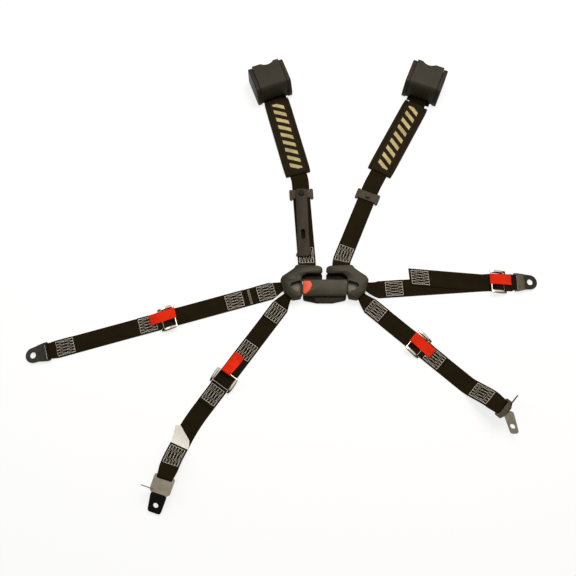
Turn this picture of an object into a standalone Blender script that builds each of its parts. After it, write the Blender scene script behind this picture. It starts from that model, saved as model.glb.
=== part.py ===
"""Six-point racing harness with shoulder retractors, laid out flat.

Metres, +Z up. The origin is on the floor under the middle of the buckle, +X is
to the right and +Y runs from the buckle toward the shoulder retractors.
"""
from math import atan2, cos, degrees, hypot, pi, radians, sin

import bmesh
import bpy
from mathutils import Matrix, Vector

MM = 0.001

# Webbing
WEB_WIDTH = 50 * MM
WEB_THICK = 1.5 * MM
FIT = 0.3 * MM
WEB_PLAY = 1.5 * MM
GATHER_WIDTH = 26 * MM
DRAWN_WIDTH = 42 * MM
SETTLE = 34 * MM

# Buckle
BUCKLE_LENGTH = 120 * MM
BUCKLE_BACK = 25 * MM
BUCKLE_FRONT = 22 * MM
BUCKLE_HEIGHT = 28 * MM
LIP_REACH = 16 * MM
SPLIT_HEIGHT = 14.6 * MM
SHELL = 3.5 * MM
BUTTON_RISE = 1 * MM
BUTTON_TRAVEL = 2.5 * MM
LEVER_WIDTH = 16 * MM
PIVOT_X = -18 * MM
PIN_RADIUS = 1.8 * MM

# Yokes: plan positions are measured from the buckle's end, outward
PLATE = 3 * MM
PLATE_LEVEL = 12.5 * MM
TONGUE_WIDTH = 28 * MM
TONGUE_DEPTH = 68 * MM
FIXED_TONGUE_DEPTH = 26 * MM
FORK_WIDTH = 22 * MM
BAR_WIDTH = 7 * MM
SLOT_WIDTH = 5 * MM
YOKE_TOP = 28 * MM
YOKE_RIM = 10 * MM
YOKE_EDGE = 4 * MM
YOKE_GAP = 2 * MM
ARM_REACH = 10 * MM
WINDOW = [(5 * MM, -14 * MM), (20 * MM, -9 * MM), (36 * MM, 5 * MM), (32 * MM, 14 * MM), (5 * MM, 23 * MM)]
WINDOW_WALL = 4 * MM
SHOULDER_BAR = (-12 * MM, 60 * MM, 90)
LAP_BAR = (54 * MM, 9 * MM, -18)
CROTCH_BAR = (40 * MM, -19 * MM, -49)

# Shoulder runs: each is a list of (length, turn in degrees) from the yoke bar
LEFT_SHOULDER = [(8 * MM, 0), (30 * MM, 4), (228 * MM, 0), (20 * MM, 11), (244 * MM, 0), (20 * MM, 5)]
RIGHT_SHOULDER = [(8 * MM, 0), (30 * MM, -22), (224 * MM, 0), (30 * MM, -6), (286 * MM, 0), (20 * MM, 8)]
SHOULDER_FOLD = 46 * MM
SHOULDER_LIFT = 4.2 * MM
SLIDER_AT = {"left": 232 * MM, "right": 240 * MM}
PAD_AT = {"left": 424 * MM, "right": 452 * MM}
MOUTH_AT = {"left": 552 * MM, "right": 594 * MM}

# Chest clip
SLIDER_LENGTH = 26 * MM
EAR_FRONT = 17 * MM
EAR_BACK = 15 * MM
SLIDER_HEIGHT = 9 * MM
SLIDER_WALL = 8 * MM
LINK_LENGTH = 194 * MM
LINK_WIDTH = 33 * MM
LINK_FLARE = 4 * MM
LINK_THICK = 4 * MM
LINK_HANG = -2
LINK_SLOT_AT = 127 * MM
LINK_SLOT = 30 * MM
COLLAR = 4 * MM
STUD_RADIUS = 4.5 * MM
PIN_HEAD = 9 * MM

# Pads
PAD_LENGTH = 256 * MM
PAD_WIDTH = 76 * MM
PAD_HEIGHT = 14 * MM
PAD_PLAY = 3 * MM

# Retractors: plan positions are measured from the mouth, backward
RETRACTOR_LENGTH = 86 * MM
RETRACTOR_HEIGHT = 70 * MM
CORE_WIDTH = 82 * MM
CAP_WIDTH = 13 * MM
COVER_WALL = 3 * MM
COVER_SETBACK = 6 * MM
CROWN_RADIUS = 14 * MM
VISOR = 8 * MM
VISOR_DROP = 9 * MM
SCALLOP_RADIUS = 29 * MM
SCALLOP_SHIFT = 6 * MM
FRAME_SHEET = 2.5 * MM
SPOOL_Y = 49 * MM
SPOOL_Z = 34 * MM
ROLL_RADIUS = 24 * MM
CORE_RADIUS = 9 * MM
AXLE_RADIUS = 4 * MM
RATCHET_RADIUS = 25 * MM
RATCHET_TEETH = 14
TOOTH = 3 * MM
MOUNT_HOLE = 5.5 * MM

# Lap and crotch limbs: run, then distances along it from the yoke bar
LIMBS = {
    "left_lap": {
        "run": [(8 * MM, 0), (30 * MM, -2), (700 * MM, 0)],
        "yoke_fold": 76 * MM, "tail": 112 * MM, "adjuster": 342 * MM, "rear_fold": 62 * MM,
        "span": 312 * MM, "anchor_fold": 62 * MM,
        "tab": 70 * MM, "tab_shift": 9 * MM, "tab_inward": False, "under": False, "swing": 0,
    },
    "right_lap": {
        "run": [(8 * MM, 0), (35 * MM, 22), (285 * MM, 0), (20 * MM, -4), (160 * MM, 0)],
        "yoke_fold": 108 * MM, "tail": 128 * MM, "adjuster": 384 * MM, "rear_fold": 9 * MM,
        "span": 26 * MM, "anchor_fold": 9 * MM,
        "tab": 58 * MM, "tab_shift": -7 * MM, "tab_inward": False, "under": False, "swing": -9,
    },
    "left_crotch": {
        "run": [(8 * MM, 0), (25 * MM, 5), (360 * MM, 0), (160 * MM, 18), (80 * MM, 0)],
        "yoke_fold": 86 * MM, "tail": 165 * MM, "adjuster": 303 * MM, "rear_fold": 62 * MM,
        "span": 275 * MM, "anchor_fold": 84 * MM,
        "tab": 60 * MM, "tab_shift": 7 * MM, "tab_inward": True, "under": False, "swing": 0,
    },
    "right_crotch": {
        "run": [(8 * MM, 0), (25 * MM, 8), (540 * MM, 0)],
        "yoke_fold": 86 * MM, "tail": 92 * MM, "adjuster": 217 * MM, "rear_fold": 62 * MM,
        "span": 247 * MM, "anchor_fold": 84 * MM,
        "tab": 66 * MM, "tab_shift": -6 * MM, "tab_inward": False, "under": True, "swing": 0,
    },
}

# Tilt-lock adjusters
LOCK_RADIUS = 2.5 * MM
CROSSBAR_AT = 32 * MM
CROSSBAR_RISE = 6 * MM
REAR_BAR_AT = 8.6 * MM
CROSSBAR = 4 * MM
BAR_WALL = 1.2 * MM
RAIL = 5 * MM
EAR_HEIGHT = 9 * MM
LOCK_SLIDE = 2.5 * MM
TAIL_LEVEL = 5 * MM
TAB_WIDTH = 30 * MM
TAB_THICK = 1.6 * MM
TAB_GAP = 0.4 * MM
TAB_SEWN = 22 * MM

# Anchors
ANCHOR_SHEET = 3 * MM
ANCHOR_BAR = 6 * MM
ANCHOR_SLOT = 5 * MM
PLATE_RAISE = 6
EYE_BEND = 15
CREASE_MARGIN = 18.5 * MM
BOLT_HOLE = 7 * MM
EYE_HOLE = 8.5 * MM
HOLE_AT = 43 * MM
EYE_RADIUS = 21 * MM
FOLD_MARGIN = {"left": 36 * MM, "right": 14 * MM}
FOOT_WIDTH = {"left": 44 * MM, "right": 29 * MM}
FOOT_LENGTH = {"left": 53 * MM, "right": 62 * MM}
FOOT_EDGE = 21 * MM
BRACKET_DROP = 28
FOOT_YAW = {"left": 0, "right": -25}
FOOT_ROLL = {"left": 0, "right": 60}

# Finishes: sRGB colour, roughness, metallic
BLACK_WEBBING = (0x221E14, 0.9, 0.0)
GREY_PLASTIC = (0x4D4942, 0.55, 0.0)
DARK_PLASTIC = (0x2E2B26, 0.6, 0.0)
RED_PLASTIC = (0xE8604A, 0.45, 0.0)
RED_WEBBING = (0xE8300F, 0.8, 0.0)
PAD_FABRIC = (0x2A2418, 0.9, 0.0)
CHROME = (0xD8D6D0, 0.15, 1.0)
STEEL = (0x8C8A86, 0.35, 1.0)
BLACK_STEEL = (0x3A3835, 0.4, 1.0)

HALF_BUCKLE = BUCKLE_LENGTH / 2
LAYER = WEB_THICK + FIT
LOCK_LEVEL = WEB_THICK + FIT + LOCK_RADIUS
REAR_LEVEL = WEB_THICK + FIT + CROSSBAR / 2
CROSSBAR_LEVEL = TAIL_LEVEL + WEB_THICK / 2 + TAB_THICK + 2 * FIT + CROSSBAR / 2 + CROSSBAR_RISE
ANCHOR_TURN = hypot(ANCHOR_BAR / 2, ANCHOR_SHEET / 2)
SIDES = {"left": -1, "right": 1}
ALONG_X = Matrix(((0, 0, 1, 0), (1, 0, 0, 0), (0, 1, 0, 0), (0, 0, 0, 1)))
ALONG_Y = Matrix.Rotation(pi / 2, 4, "X")

for old in list(bpy.data.objects):
    bpy.data.objects.remove(old, do_unlink=True)
parts = bpy.data.collections.new("racing_harness")
cutters = bpy.data.collections.new("cutters")
for group in (parts, cutters):
    bpy.context.scene.collection.children.link(group)


def linear(hex_colour):
    """The linear RGBA of an sRGB hex colour."""
    channels = [(hex_colour >> shift & 255) / 255 for shift in (16, 8, 0)]
    return [c / 12.92 if c <= 0.04045 else ((c + 0.055) / 1.055) ** 2.4 for c in channels] + [1]


def part(name, mesh, finish, place=None, parent=None):
    """Add a named piece with its own material, placed by a matrix under its parent empty."""
    colour, roughness, metallic = finish
    material = bpy.data.materials.new(name)
    material.use_nodes = True
    shader = material.node_tree.nodes["Principled BSDF"]
    shader.inputs["Base Color"].default_value = linear(colour)
    shader.inputs["Roughness"].default_value = roughness
    shader.inputs["Metallic"].default_value = metallic
    mesh.name = name
    mesh.materials.clear()
    mesh.materials.append(material)
    piece = bpy.data.objects.new(name, mesh)
    parts.objects.link(piece)
    piece.parent = parent
    piece.matrix_basis = place or Matrix()
    return piece


def tool(name, mesh):
    """Add a hidden solid that cuts or joins."""
    piece = bpy.data.objects.new(name, mesh)
    piece.hide_render = True
    piece.display_type = "WIRE"
    cutters.objects.link(piece)
    return piece


def combine(piece, mesh, operation="DIFFERENCE", place=None):
    """Cut a mesh from a piece, join it on or keep what both share, in the piece's own frame."""
    other = tool(piece.name + "_" + operation.lower(), mesh)
    other.parent = piece
    other.matrix_basis = place or Matrix()
    boolean = piece.modifiers.new(operation.title(), "BOOLEAN")
    boolean.operation = operation
    boolean.solver = "EXACT"
    boolean.object = other


def empty(name, place):
    """Add an empty that carries an assembly."""
    holder = bpy.data.objects.new(name, None)
    parts.objects.link(holder)
    holder.matrix_basis = place
    return holder


def move(x=0, y=0, z=0, turn=0):
    """A placing matrix: a turn about Z in degrees, then a move."""
    return Matrix.Translation((x, y, z)) @ Matrix.Rotation(radians(turn), 4, "Z")


def arc(centre, radius, start, end, steps):
    """Points along an arc, angles in degrees."""
    angles = [radians(start + (end - start) * i / steps) for i in range(steps + 1)]
    return [(centre[0] + radius * cos(a), centre[1] + radius * sin(a)) for a in angles]


def rounded(corners, radius, steps=3):
    """A closed outline with each corner rounded, as far as its sides allow."""
    outline = []
    count = len(corners)
    for i, corner in enumerate(corners):
        here = Vector(corner)
        before = Vector(corners[i - 1]) - here
        after = Vector(corners[(i + 1) % count]) - here
        half = before.angle(after) / 2
        reach = min(radius / max(abs(sin(half) / cos(half)), 0.01), before.length * 0.45, after.length * 0.45)
        first = here + before.normalized() * reach
        last = here + after.normalized() * reach
        for k in range(steps + 1):
            t = k / steps
            outline.append(tuple((1 - t) ** 2 * first + 2 * t * (1 - t) * here + t * t * last))
    return outline


def grown(outline, gap):
    """A convex outline moved outward by a gap."""
    middle = sum((Vector(p) for p in outline), Vector((0, 0))) / len(outline)
    return [tuple(Vector(p) + (Vector(p) - middle).normalized() * gap * 1.3) for p in outline]


def flipped(outline, sign):
    """An outline mirrored left to right where sign is -1."""
    return [(sign * x, y) for x, y in outline]


def slab(loops, low, high, edge=0.0):
    """A flat solid from closed outlines, holes included, between two heights with rounded edges."""
    curve = bpy.data.curves.new("outline", "CURVE")
    curve.dimensions = "2D"
    curve.fill_mode = "BOTH"
    curve.extrude = (high - low) / 2 - edge
    curve.bevel_depth = edge
    curve.bevel_resolution = 1
    curve.offset = -edge
    for loop in loops:
        spline = curve.splines.new("POLY")
        spline.points.add(len(loop) - 1)
        for point, (x, y) in zip(spline.points, loop):
            point.co = (x, y, 0, 1)
        spline.use_cyclic_u = True
    holder = bpy.data.objects.new("outline", curve)
    cutters.objects.link(holder)
    bpy.context.view_layer.update()
    evaluated = holder.evaluated_get(bpy.context.evaluated_depsgraph_get())
    mesh = bpy.data.meshes.new_from_object(evaluated)
    bpy.data.objects.remove(holder, do_unlink=True)
    shape = bmesh.new()
    shape.from_mesh(mesh)
    bmesh.ops.remove_doubles(shape, verts=shape.verts, dist=1e-6)
    bmesh.ops.recalc_face_normals(shape, faces=shape.faces)
    bmesh.ops.translate(shape, verts=shape.verts, vec=(0, 0, (low + high) / 2))
    shape.to_mesh(mesh)
    shape.free()
    return mesh


def turned(mesh, matrix):
    """The mesh, turned by a matrix."""
    mesh.transform(matrix)
    return mesh


def block(low, high):
    """A box between two corners."""
    mesh = bpy.data.meshes.new("block")
    shape = bmesh.new()
    bmesh.ops.create_cube(shape, size=1)
    size = [b - a for a, b in zip(low, high)]
    bmesh.ops.scale(shape, verts=shape.verts, vec=size)
    bmesh.ops.translate(shape, verts=shape.verts, vec=[(a + b) / 2 for a, b in zip(low, high)])
    shape.to_mesh(mesh)
    shape.free()
    return mesh


def rod(radius, low, high, sides=20, top_radius=None):
    """A cylinder or cone along Z."""
    mesh = bpy.data.meshes.new("rod")
    shape = bmesh.new()
    bmesh.ops.create_cone(
        shape, cap_ends=True, segments=sides, radius1=radius, radius2=top_radius or radius, depth=high - low
    )
    bmesh.ops.translate(shape, verts=shape.verts, vec=(0, 0, (low + high) / 2))
    shape.to_mesh(mesh)
    shape.free()
    return mesh


def lathe(piece_name, profile, finish, place, parent, steps=24, closed=False):
    """A turned piece: a profile of (radius, height) swept about its own Z."""
    mesh = bpy.data.meshes.new(piece_name)
    shape = bmesh.new()
    points = [shape.verts.new((r, 0, z)) for r, z in profile]
    for a, b in zip(points, points[1:] + points[:1] if closed else points[1:]):
        shape.edges.new((a, b))
    shape.to_mesh(mesh)
    shape.free()
    piece = part(piece_name, mesh, finish, place, parent)
    screw = piece.modifiers.new("Turn", "SCREW")
    screw.axis = "Z"
    screw.steps = steps
    screw.render_steps = steps
    screw.use_merge_vertices = True
    screw.merge_threshold = 0.00001
    return piece


class Run:
    """The plan line of a strap: straight and curved stretches from a start point and heading."""

    def __init__(self, start, heading, stretches):
        self.start = Vector(start)
        self.heading = heading
        self.stretches = stretches

    def at(self, s):
        """The point and the heading in degrees at a distance along the run."""
        point = self.start.copy()
        heading = self.heading
        if s < 0:
            return point + s * Vector((cos(radians(heading)), sin(radians(heading)))), heading
        left = s
        for length, turn in self.stretches:
            step = min(left, length)
            swept = turn * step / length
            middle = radians(heading + swept / 2)
            half = radians(abs(swept)) / 2
            chord = step * (sin(half) / half if half else 1)
            point = point + chord * Vector((cos(middle), sin(middle)))
            heading += swept
            left -= step
            if left <= 0:
                return point, heading
        return point + left * Vector((cos(radians(heading)), sin(radians(heading)))), heading

    def place(self, s, z=0.0):
        """A placing matrix at a distance along the run, +Y pointing along it."""
        point, heading = self.at(s)
        return move(point.x, point.y, z, heading - 90)


def ribbon(name, run, stations, thickness, finish, parent):
    """A strap along a run: stations of (distance, height, width, sideways shift), made solid."""
    mesh = bpy.data.meshes.new(name)
    shape = bmesh.new()
    rows = len(stations) - 1
    bmesh.ops.create_grid(shape, x_segments=1, y_segments=rows, size=1)
    for vert in shape.verts:
        s, z, width, shift = stations[round((vert.co.y + 1) / 2 * rows)]
        point, heading = run.at(s)
        across = vert.co.x * width / 2 + shift
        side = Vector((sin(radians(heading)), -cos(radians(heading))))
        spot = point + side * across
        vert.co = (spot.x, spot.y, z)
    shape.to_mesh(mesh)
    shape.free()
    piece = part(name, mesh, finish, None, parent)
    solid = piece.modifiers.new("Thickness", "SOLIDIFY")
    solid.thickness = thickness
    solid.offset = 0
    solid.use_even_offset = True
    return piece


def turn_round(s, z, radius, start, end, width, steps=8):
    """Stations round a bar, angles in degrees."""
    return [(x, y, width, 0) for x, y in arc((s, z), radius, start, end, steps)]


def bar_radius(half):
    """Radius of a strap's middle line round a bar of a given half thickness."""
    return half + FIT + WEB_THICK / 2


def yoke_point(side, bar):
    """World start point and heading of a yoke's webbing bar."""
    sign = SIDES[side]
    x, y, heading = bar
    return (sign * (HALF_BUCKLE + x), y), heading if sign > 0 else 180 - heading


def yoke_fold(width, level, fold_end):
    """Stations from a fold's end, in over a yoke bar, round its inner edge and out again below."""
    radius = bar_radius(PLATE / 2)
    inner = BAR_WIDTH / 2
    stations = [(fold_end, level + LAYER, WEB_WIDTH, 0)]
    stations.append((inner + SETTLE, level + LAYER, WEB_WIDTH, 0))
    stations.append((inner + 2 * MM, PLATE_LEVEL + radius, width, 0))
    stations += turn_round(-inner, PLATE_LEVEL, radius, 90, 270, width)
    stations.append((inner + 2 * MM, PLATE_LEVEL - radius, width, 0))
    return stations


def build_buckle():
    """Base, cover, button and latch of the centre buckle."""
    holder = empty("buckle", Matrix())
    channel = TONGUE_WIDTH / 2 + 2 * FIT
    floor = PLATE_LEVEL - PLATE / 2 - FIT
    lip = -BUCKLE_FRONT - LIP_REACH
    profile = [
        (BUCKLE_BACK, 0), (BUCKLE_BACK, SPLIT_HEIGHT), (-BUCKLE_FRONT, SPLIT_HEIGHT),
        (-BUCKLE_FRONT - LIP_REACH * 0.4, SPLIT_HEIGHT * 0.9), (lip, SPLIT_HEIGHT * 0.35), (lip, 0),
    ]
    body = turned(slab([profile], -HALF_BUCKLE, HALF_BUCKLE), ALONG_X)
    base = part("buckle_base", body, DARK_PLASTIC, None, holder)
    plan = rounded(
        [
            (-HALF_BUCKLE, BUCKLE_BACK + MM), (-HALF_BUCKLE, lip * 0.78), (-HALF_BUCKLE * 0.3, lip * 1.02),
            (HALF_BUCKLE * 0.3, lip * 1.02), (HALF_BUCKLE, lip * 0.78), (HALF_BUCKLE, BUCKLE_BACK + MM),
        ],
        8 * MM,
    )
    combine(base, slab([plan], -MM, SPLIT_HEIGHT + MM), "INTERSECT")
    combine(base, block((-HALF_BUCKLE * 2, -channel, floor), (HALF_BUCKLE * 2, channel, SPLIT_HEIGHT * 2)))
    post_in = channel + FIT
    post_out = BUCKLE_FRONT - SHELL - FIT
    pivot_z = SPLIT_HEIGHT + PIN_RADIUS + 3 * MM
    for sign in (-1, 1):
        low, high = sorted((sign * post_in, sign * post_out))
        post_top = pivot_z + PIN_RADIUS + 1.5 * MM
        post = block((PIVOT_X - 4 * MM, low, floor + MM), (PIVOT_X + 4 * MM, high, post_top))
        combine(base, post, "UNION")
    combine(base, turned(rod(PIN_RADIUS + FIT, -post_out * 2, post_out * 2), ALONG_Y), "DIFFERENCE",
            move(PIVOT_X, 0, pivot_z))
    for x in fixed_pegs():
        combine(base, rod(3 * MM, floor - MM, PLATE_LEVEL + PLATE / 2 + FIT), "UNION", move(x))

    edge = 4 * MM
    ridge = [
        (BUCKLE_BACK, SPLIT_HEIGHT + FIT),
        *arc((BUCKLE_BACK - edge, BUCKLE_HEIGHT - edge), edge, 0, 90, 3),
        *arc((edge - BUCKLE_FRONT, BUCKLE_HEIGHT - edge), edge, 90, 180, 3),
        (-BUCKLE_FRONT, SPLIT_HEIGHT + FIT),
    ]
    shell = turned(slab([ridge], -HALF_BUCKLE, HALF_BUCKLE), ALONG_X)
    cover = part("buckle_cover", shell, GREY_PLASTIC, None, holder)
    inside = (BUCKLE_BACK - SHELL, BUCKLE_FRONT - SHELL, BUCKLE_HEIGHT - SHELL)
    combine(cover, block((SHELL - HALF_BUCKLE, -inside[1], 0), (HALF_BUCKLE - SHELL, inside[0], inside[2])))
    button_low = pivot_z + 1.6 * MM
    button_top = BUCKLE_HEIGHT + BUTTON_RISE
    button = [
        (0.5 * MM - HALF_BUCKLE, BUCKLE_BACK - 5 * MM), (20 * MM - HALF_BUCKLE, BUCKLE_BACK - 5 * MM),
        (27 * MM - HALF_BUCKLE, 8 * MM), (21 * MM - HALF_BUCKLE, -6 * MM),
        (8 * MM - HALF_BUCKLE, 4 * MM - BUCKLE_FRONT), (0.5 * MM - HALF_BUCKLE, 4 * MM - BUCKLE_FRONT),
    ]
    opening = grown(rounded(button, 4 * MM), 2 * FIT)
    opening = [(x - 8 * MM if x < 4 * MM - HALF_BUCKLE else x, y) for x, y in opening]
    combine(cover, slab([opening], button_low - BUTTON_TRAVEL - 1.5 * MM, BUCKLE_HEIGHT * 2))
    for x in (13 * MM, 19 * MM):
        combine(cover, block((x, -BUCKLE_FRONT * 2, BUCKLE_HEIGHT - 0.6 * MM), (x + MM, BUCKLE_BACK * 2, 1)))
    middle = Vector((14 * MM - HALF_BUCKLE, 0))
    local = [tuple(Vector(p) - middle) for p in rounded(button, 4 * MM)]
    part("release_button", slab([local], 0, button_top - button_low, 1.2 * MM), RED_PLASTIC,
         move(middle.x, middle.y, button_low), holder)

    reach = 27 * MM
    tooth = -PIVOT_X
    tooth_low = PLATE_LEVEL + PLATE / 2 - 1.6 * MM
    lever = [
        (-reach, -2.2 * MM), (tooth, -2.2 * MM), (tooth, tooth_low - pivot_z),
        (tooth + 5 * MM, tooth_low - pivot_z), (tooth + 5 * MM, 0), (PIN_RADIUS + 2 * MM, 0),
        *arc((0, 0), PIN_RADIUS + 1.8 * MM, 40, 140, 5),
        (-PIN_RADIUS - 2 * MM, 0), (4 * MM - reach, 0), (4 * MM - reach, 1.2 * MM), (-reach, 1.2 * MM),
    ]
    hole = arc((0, 0), PIN_RADIUS + FIT, 0, 330, 11)
    bushing = arc((0, 0), PIN_RADIUS + 1.8 * MM, 0, 330, 11)
    latch = part("latch_lever", turned(slab([lever], -LEVER_WIDTH / 2, LEVER_WIDTH / 2), ALONG_Y), STEEL,
                 move(PIVOT_X, 0, pivot_z), holder)
    combine(latch, turned(slab([bushing], -LEVER_WIDTH / 2, LEVER_WIDTH / 2), ALONG_Y), "UNION")
    combine(latch, turned(slab([hole], -LEVER_WIDTH, LEVER_WIDTH), ALONG_Y))
    pin = turned(rod(PIN_RADIUS, -post_out, post_out), ALONG_Y)
    part("latch_pin", pin, STEEL, move(PIVOT_X, 0, pivot_z), holder)
    build_spring(holder, tooth + PIVOT_X + 2.5 * MM, pivot_z + FIT, inside[2] - FIT)


def fixed_pegs():
    """Plan X of the base pegs that hold the right yoke's tongue."""
    end = HALF_BUCKLE - FIXED_TONGUE_DEPTH
    return (end + 7 * MM, end + 18 * MM)


def build_spring(holder, x, low, high):
    """The small coil that keeps the latch down: one wire of three turns."""
    wire = 0.4 * MM
    turns = 3
    points = 10 * turns
    curve = bpy.data.curves.new("coil", "CURVE")
    curve.dimensions = "3D"
    curve.bevel_depth = wire
    curve.bevel_resolution = 1
    curve.use_fill_caps = True
    spline = curve.splines.new("POLY")
    spline.points.add(points)
    for i, point in enumerate(spline.points):
        angle = 2 * pi * turns * i / points
        z = wire + (high - low - 2 * wire) * i / points
        point.co = (3 * MM * cos(angle), 3 * MM * sin(angle), z, 1)
    guide = bpy.data.objects.new("coil", curve)
    cutters.objects.link(guide)
    bpy.context.view_layer.update()
    mesh = bpy.data.meshes.new_from_object(guide.evaluated_get(bpy.context.evaluated_depsgraph_get()))
    bpy.data.objects.remove(guide, do_unlink=True)
    shape = bmesh.new()
    shape.from_mesh(mesh)
    bmesh.ops.remove_doubles(shape, verts=shape.verts, dist=1e-6)
    shape.to_mesh(mesh)
    shape.free()
    part("latch_spring", mesh, STEEL, move(x, 0, low), holder)


def bar_slot(bar, length):
    """The webbing slot behind a yoke bar, as a rounded outline."""
    x, y, heading = bar
    out = Vector((cos(radians(heading)), sin(radians(heading))))
    side = Vector((-out.y, out.x))
    near = Vector((x, y)) - out * BAR_WIDTH / 2
    far = near - out * SLOT_WIDTH
    reach = side * length / 2
    return rounded([tuple(c) for c in (near - reach, near + reach, far + reach, far - reach)], 1.5 * MM, 2)


def bar_edge(bar, length):
    """The two ends of a yoke plate's outer edge along a bar."""
    x, y, heading = bar
    out = Vector((cos(radians(heading)), sin(radians(heading))))
    side = Vector((-out.y, out.x))
    edge = Vector((x, y)) + out * BAR_WIDTH / 2
    return tuple(edge - side * length / 2), tuple(edge + side * length / 2)


def build_yoke(side):
    """Steel plate with its tongue, moulded front cover and rear cover of one yoke."""
    sign = SIDES[side]
    holder = empty(side + "_yoke", move(sign * HALF_BUCKLE))
    shoulder_slot = WEB_WIDTH + 2 * WEB_PLAY
    small_slot = GATHER_WIDTH + 2 * WEB_PLAY
    arm = bar_edge(SHOULDER_BAR, shoulder_slot + 12 * MM)
    lap = bar_edge(LAP_BAR, small_slot + 6 * MM)
    crotch = bar_edge(CROTCH_BAR, small_slot + 6 * MM)
    corner = ((lap[0][0] + crotch[1][0]) / 2, (lap[0][1] + crotch[1][1]) / 2)
    arm_low = SHOULDER_BAR[1] - BAR_WIDTH / 2 - SLOT_WIDTH - 6 * MM
    half = TONGUE_WIDTH / 2
    depth = TONGUE_DEPTH if sign < 0 else FIXED_TONGUE_DEPTH
    tip = [(-depth, -half), (YOKE_GAP, -half)]
    outline = [
        *tip, (YOKE_GAP + 4 * MM, crotch[0][1] + 4 * MM), crotch[0], corner, lap[1], arm[0], arm[1],
        (arm[1][0], arm_low), (-6 * MM, arm_low), (YOKE_GAP + 2 * MM, arm_low - 10 * MM), (YOKE_GAP, half),
    ]
    if sign < 0:
        fork = FORK_WIDTH / 2
        notch = 10 * MM - depth
        outline += [(-depth, half), (-depth, fork), (notch, fork), (notch, -fork), (-depth, -fork)]
    else:
        outline.append((-depth, half))
    loops = [rounded(outline, 3 * MM, 2)]
    for bar, length in ((SHOULDER_BAR, shoulder_slot), (LAP_BAR, small_slot), (CROTCH_BAR, small_slot)):
        loops.append(bar_slot(bar, length))
    if sign > 0:
        loops += [arc((x - HALF_BUCKLE, 0), 3 * MM + FIT, 0, 337.5, 15) for x in fixed_pegs()]
    low = PLATE_LEVEL - PLATE / 2
    high = PLATE_LEVEL + PLATE / 2
    part(side + "_yoke_plate", slab([flipped(p, sign) for p in loops], low, high), STEEL, None, holder)

    tip = arm[1][0] - ARM_REACH
    cover_edge = [
        (YOKE_GAP, crotch[0][1] + 9 * MM), (YOKE_GAP + 6 * MM, crotch[0][1] + 5 * MM), crotch[0],
        corner, lap[1],
        (lap[1][0] - 6 * MM, lap[1][1] + 11 * MM), (arm[0][0] + 20 * MM, arm[0][1] - 17 * MM),
        (arm[0][0] + 4 * MM, arm[0][1] - 5 * MM), (arm[0][0] - 2 * MM, arm[0][1] + 5 * MM),
        (arm[1][0], arm[1][1] + 2 * MM), (tip, arm[1][1] - 3 * MM), (tip - MM, arm_low),
        (tip + 6 * MM, arm_low - 4 * MM), (-12 * MM, arm_low - 3 * MM), (YOKE_GAP, arm_low - 12 * MM),
    ]
    rim_low = YOKE_TOP - YOKE_RIM
    outer = rounded(cover_edge, 9 * MM)
    shell = slab([flipped(outer, sign)], rim_low, YOKE_TOP, YOKE_EDGE)
    cover = part(side + "_yoke_cover", shell, GREY_PLASTIC, None, holder)
    window = rounded(WINDOW, 4 * MM, 2)
    boss = grown(window, WINDOW_WALL)
    combine(cover, slab([flipped(boss, sign)], high + FIT, YOKE_TOP - YOKE_EDGE), "UNION")
    combine(cover, slab([flipped(window, sign)], 0, YOKE_TOP * 2))
    back = BUCKLE_BACK + YOKE_GAP
    pad = rounded(
        [
            (4 * MM, -20 * MM), (20 * MM, -22 * MM), (34 * MM, 0), (36 * MM, 22 * MM), (24 * MM, 36 * MM),
            (14 * MM, arm_low), (tip, arm_low), (tip, back), (4 * MM, back),
        ],
        4 * MM, 2,
    )
    rear = slab([flipped(pad, sign)], 2 * MM, low - FIT, 1.5 * MM)
    part(side + "_yoke_rear_cover", rear, DARK_PLASTIC, None, holder)


def build_shoulder(side):
    """Strap, chest slider, pad and retractor of one shoulder run."""
    sign = SIDES[side]
    stretches = LEFT_SHOULDER if sign < 0 else RIGHT_SHOULDER
    run = Run(*yoke_point(side, SHOULDER_BAR), stretches)
    holder = empty(side + "_shoulder", Matrix())
    mouth = MOUTH_AT[side]
    lift = SHOULDER_LIFT
    stations = yoke_fold(WEB_WIDTH, lift, SHOULDER_FOLD + SETTLE)
    stations.append((BAR_WIDTH / 2 + SETTLE, lift, WEB_WIDTH, 0))
    steps = 20
    start = BAR_WIDTH / 2 + SETTLE
    slot = mouth + COVER_SETBACK
    for i in range(1, steps + 1):
        stations.append((start + (slot - 2 * MM - start) * i / steps, lift, WEB_WIDTH, 0))
    under_roll = SPOOL_Z - ROLL_RADIUS - FIT - WEB_THICK / 2
    for reach, share in ((14 * MM, 0.8), (24 * MM, 1)):
        stations.append((slot + reach, under_roll * share, WEB_WIDTH, 0))
    stations.append((mouth + SPOOL_Y, under_roll, WEB_WIDTH, 0))
    ribbon(side + "_shoulder_strap", run, stations, WEB_THICK, BLACK_WEBBING, holder)
    build_slider(side, run, holder)
    build_pad(side, run, holder)
    build_retractor(side, run.place(mouth))


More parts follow.
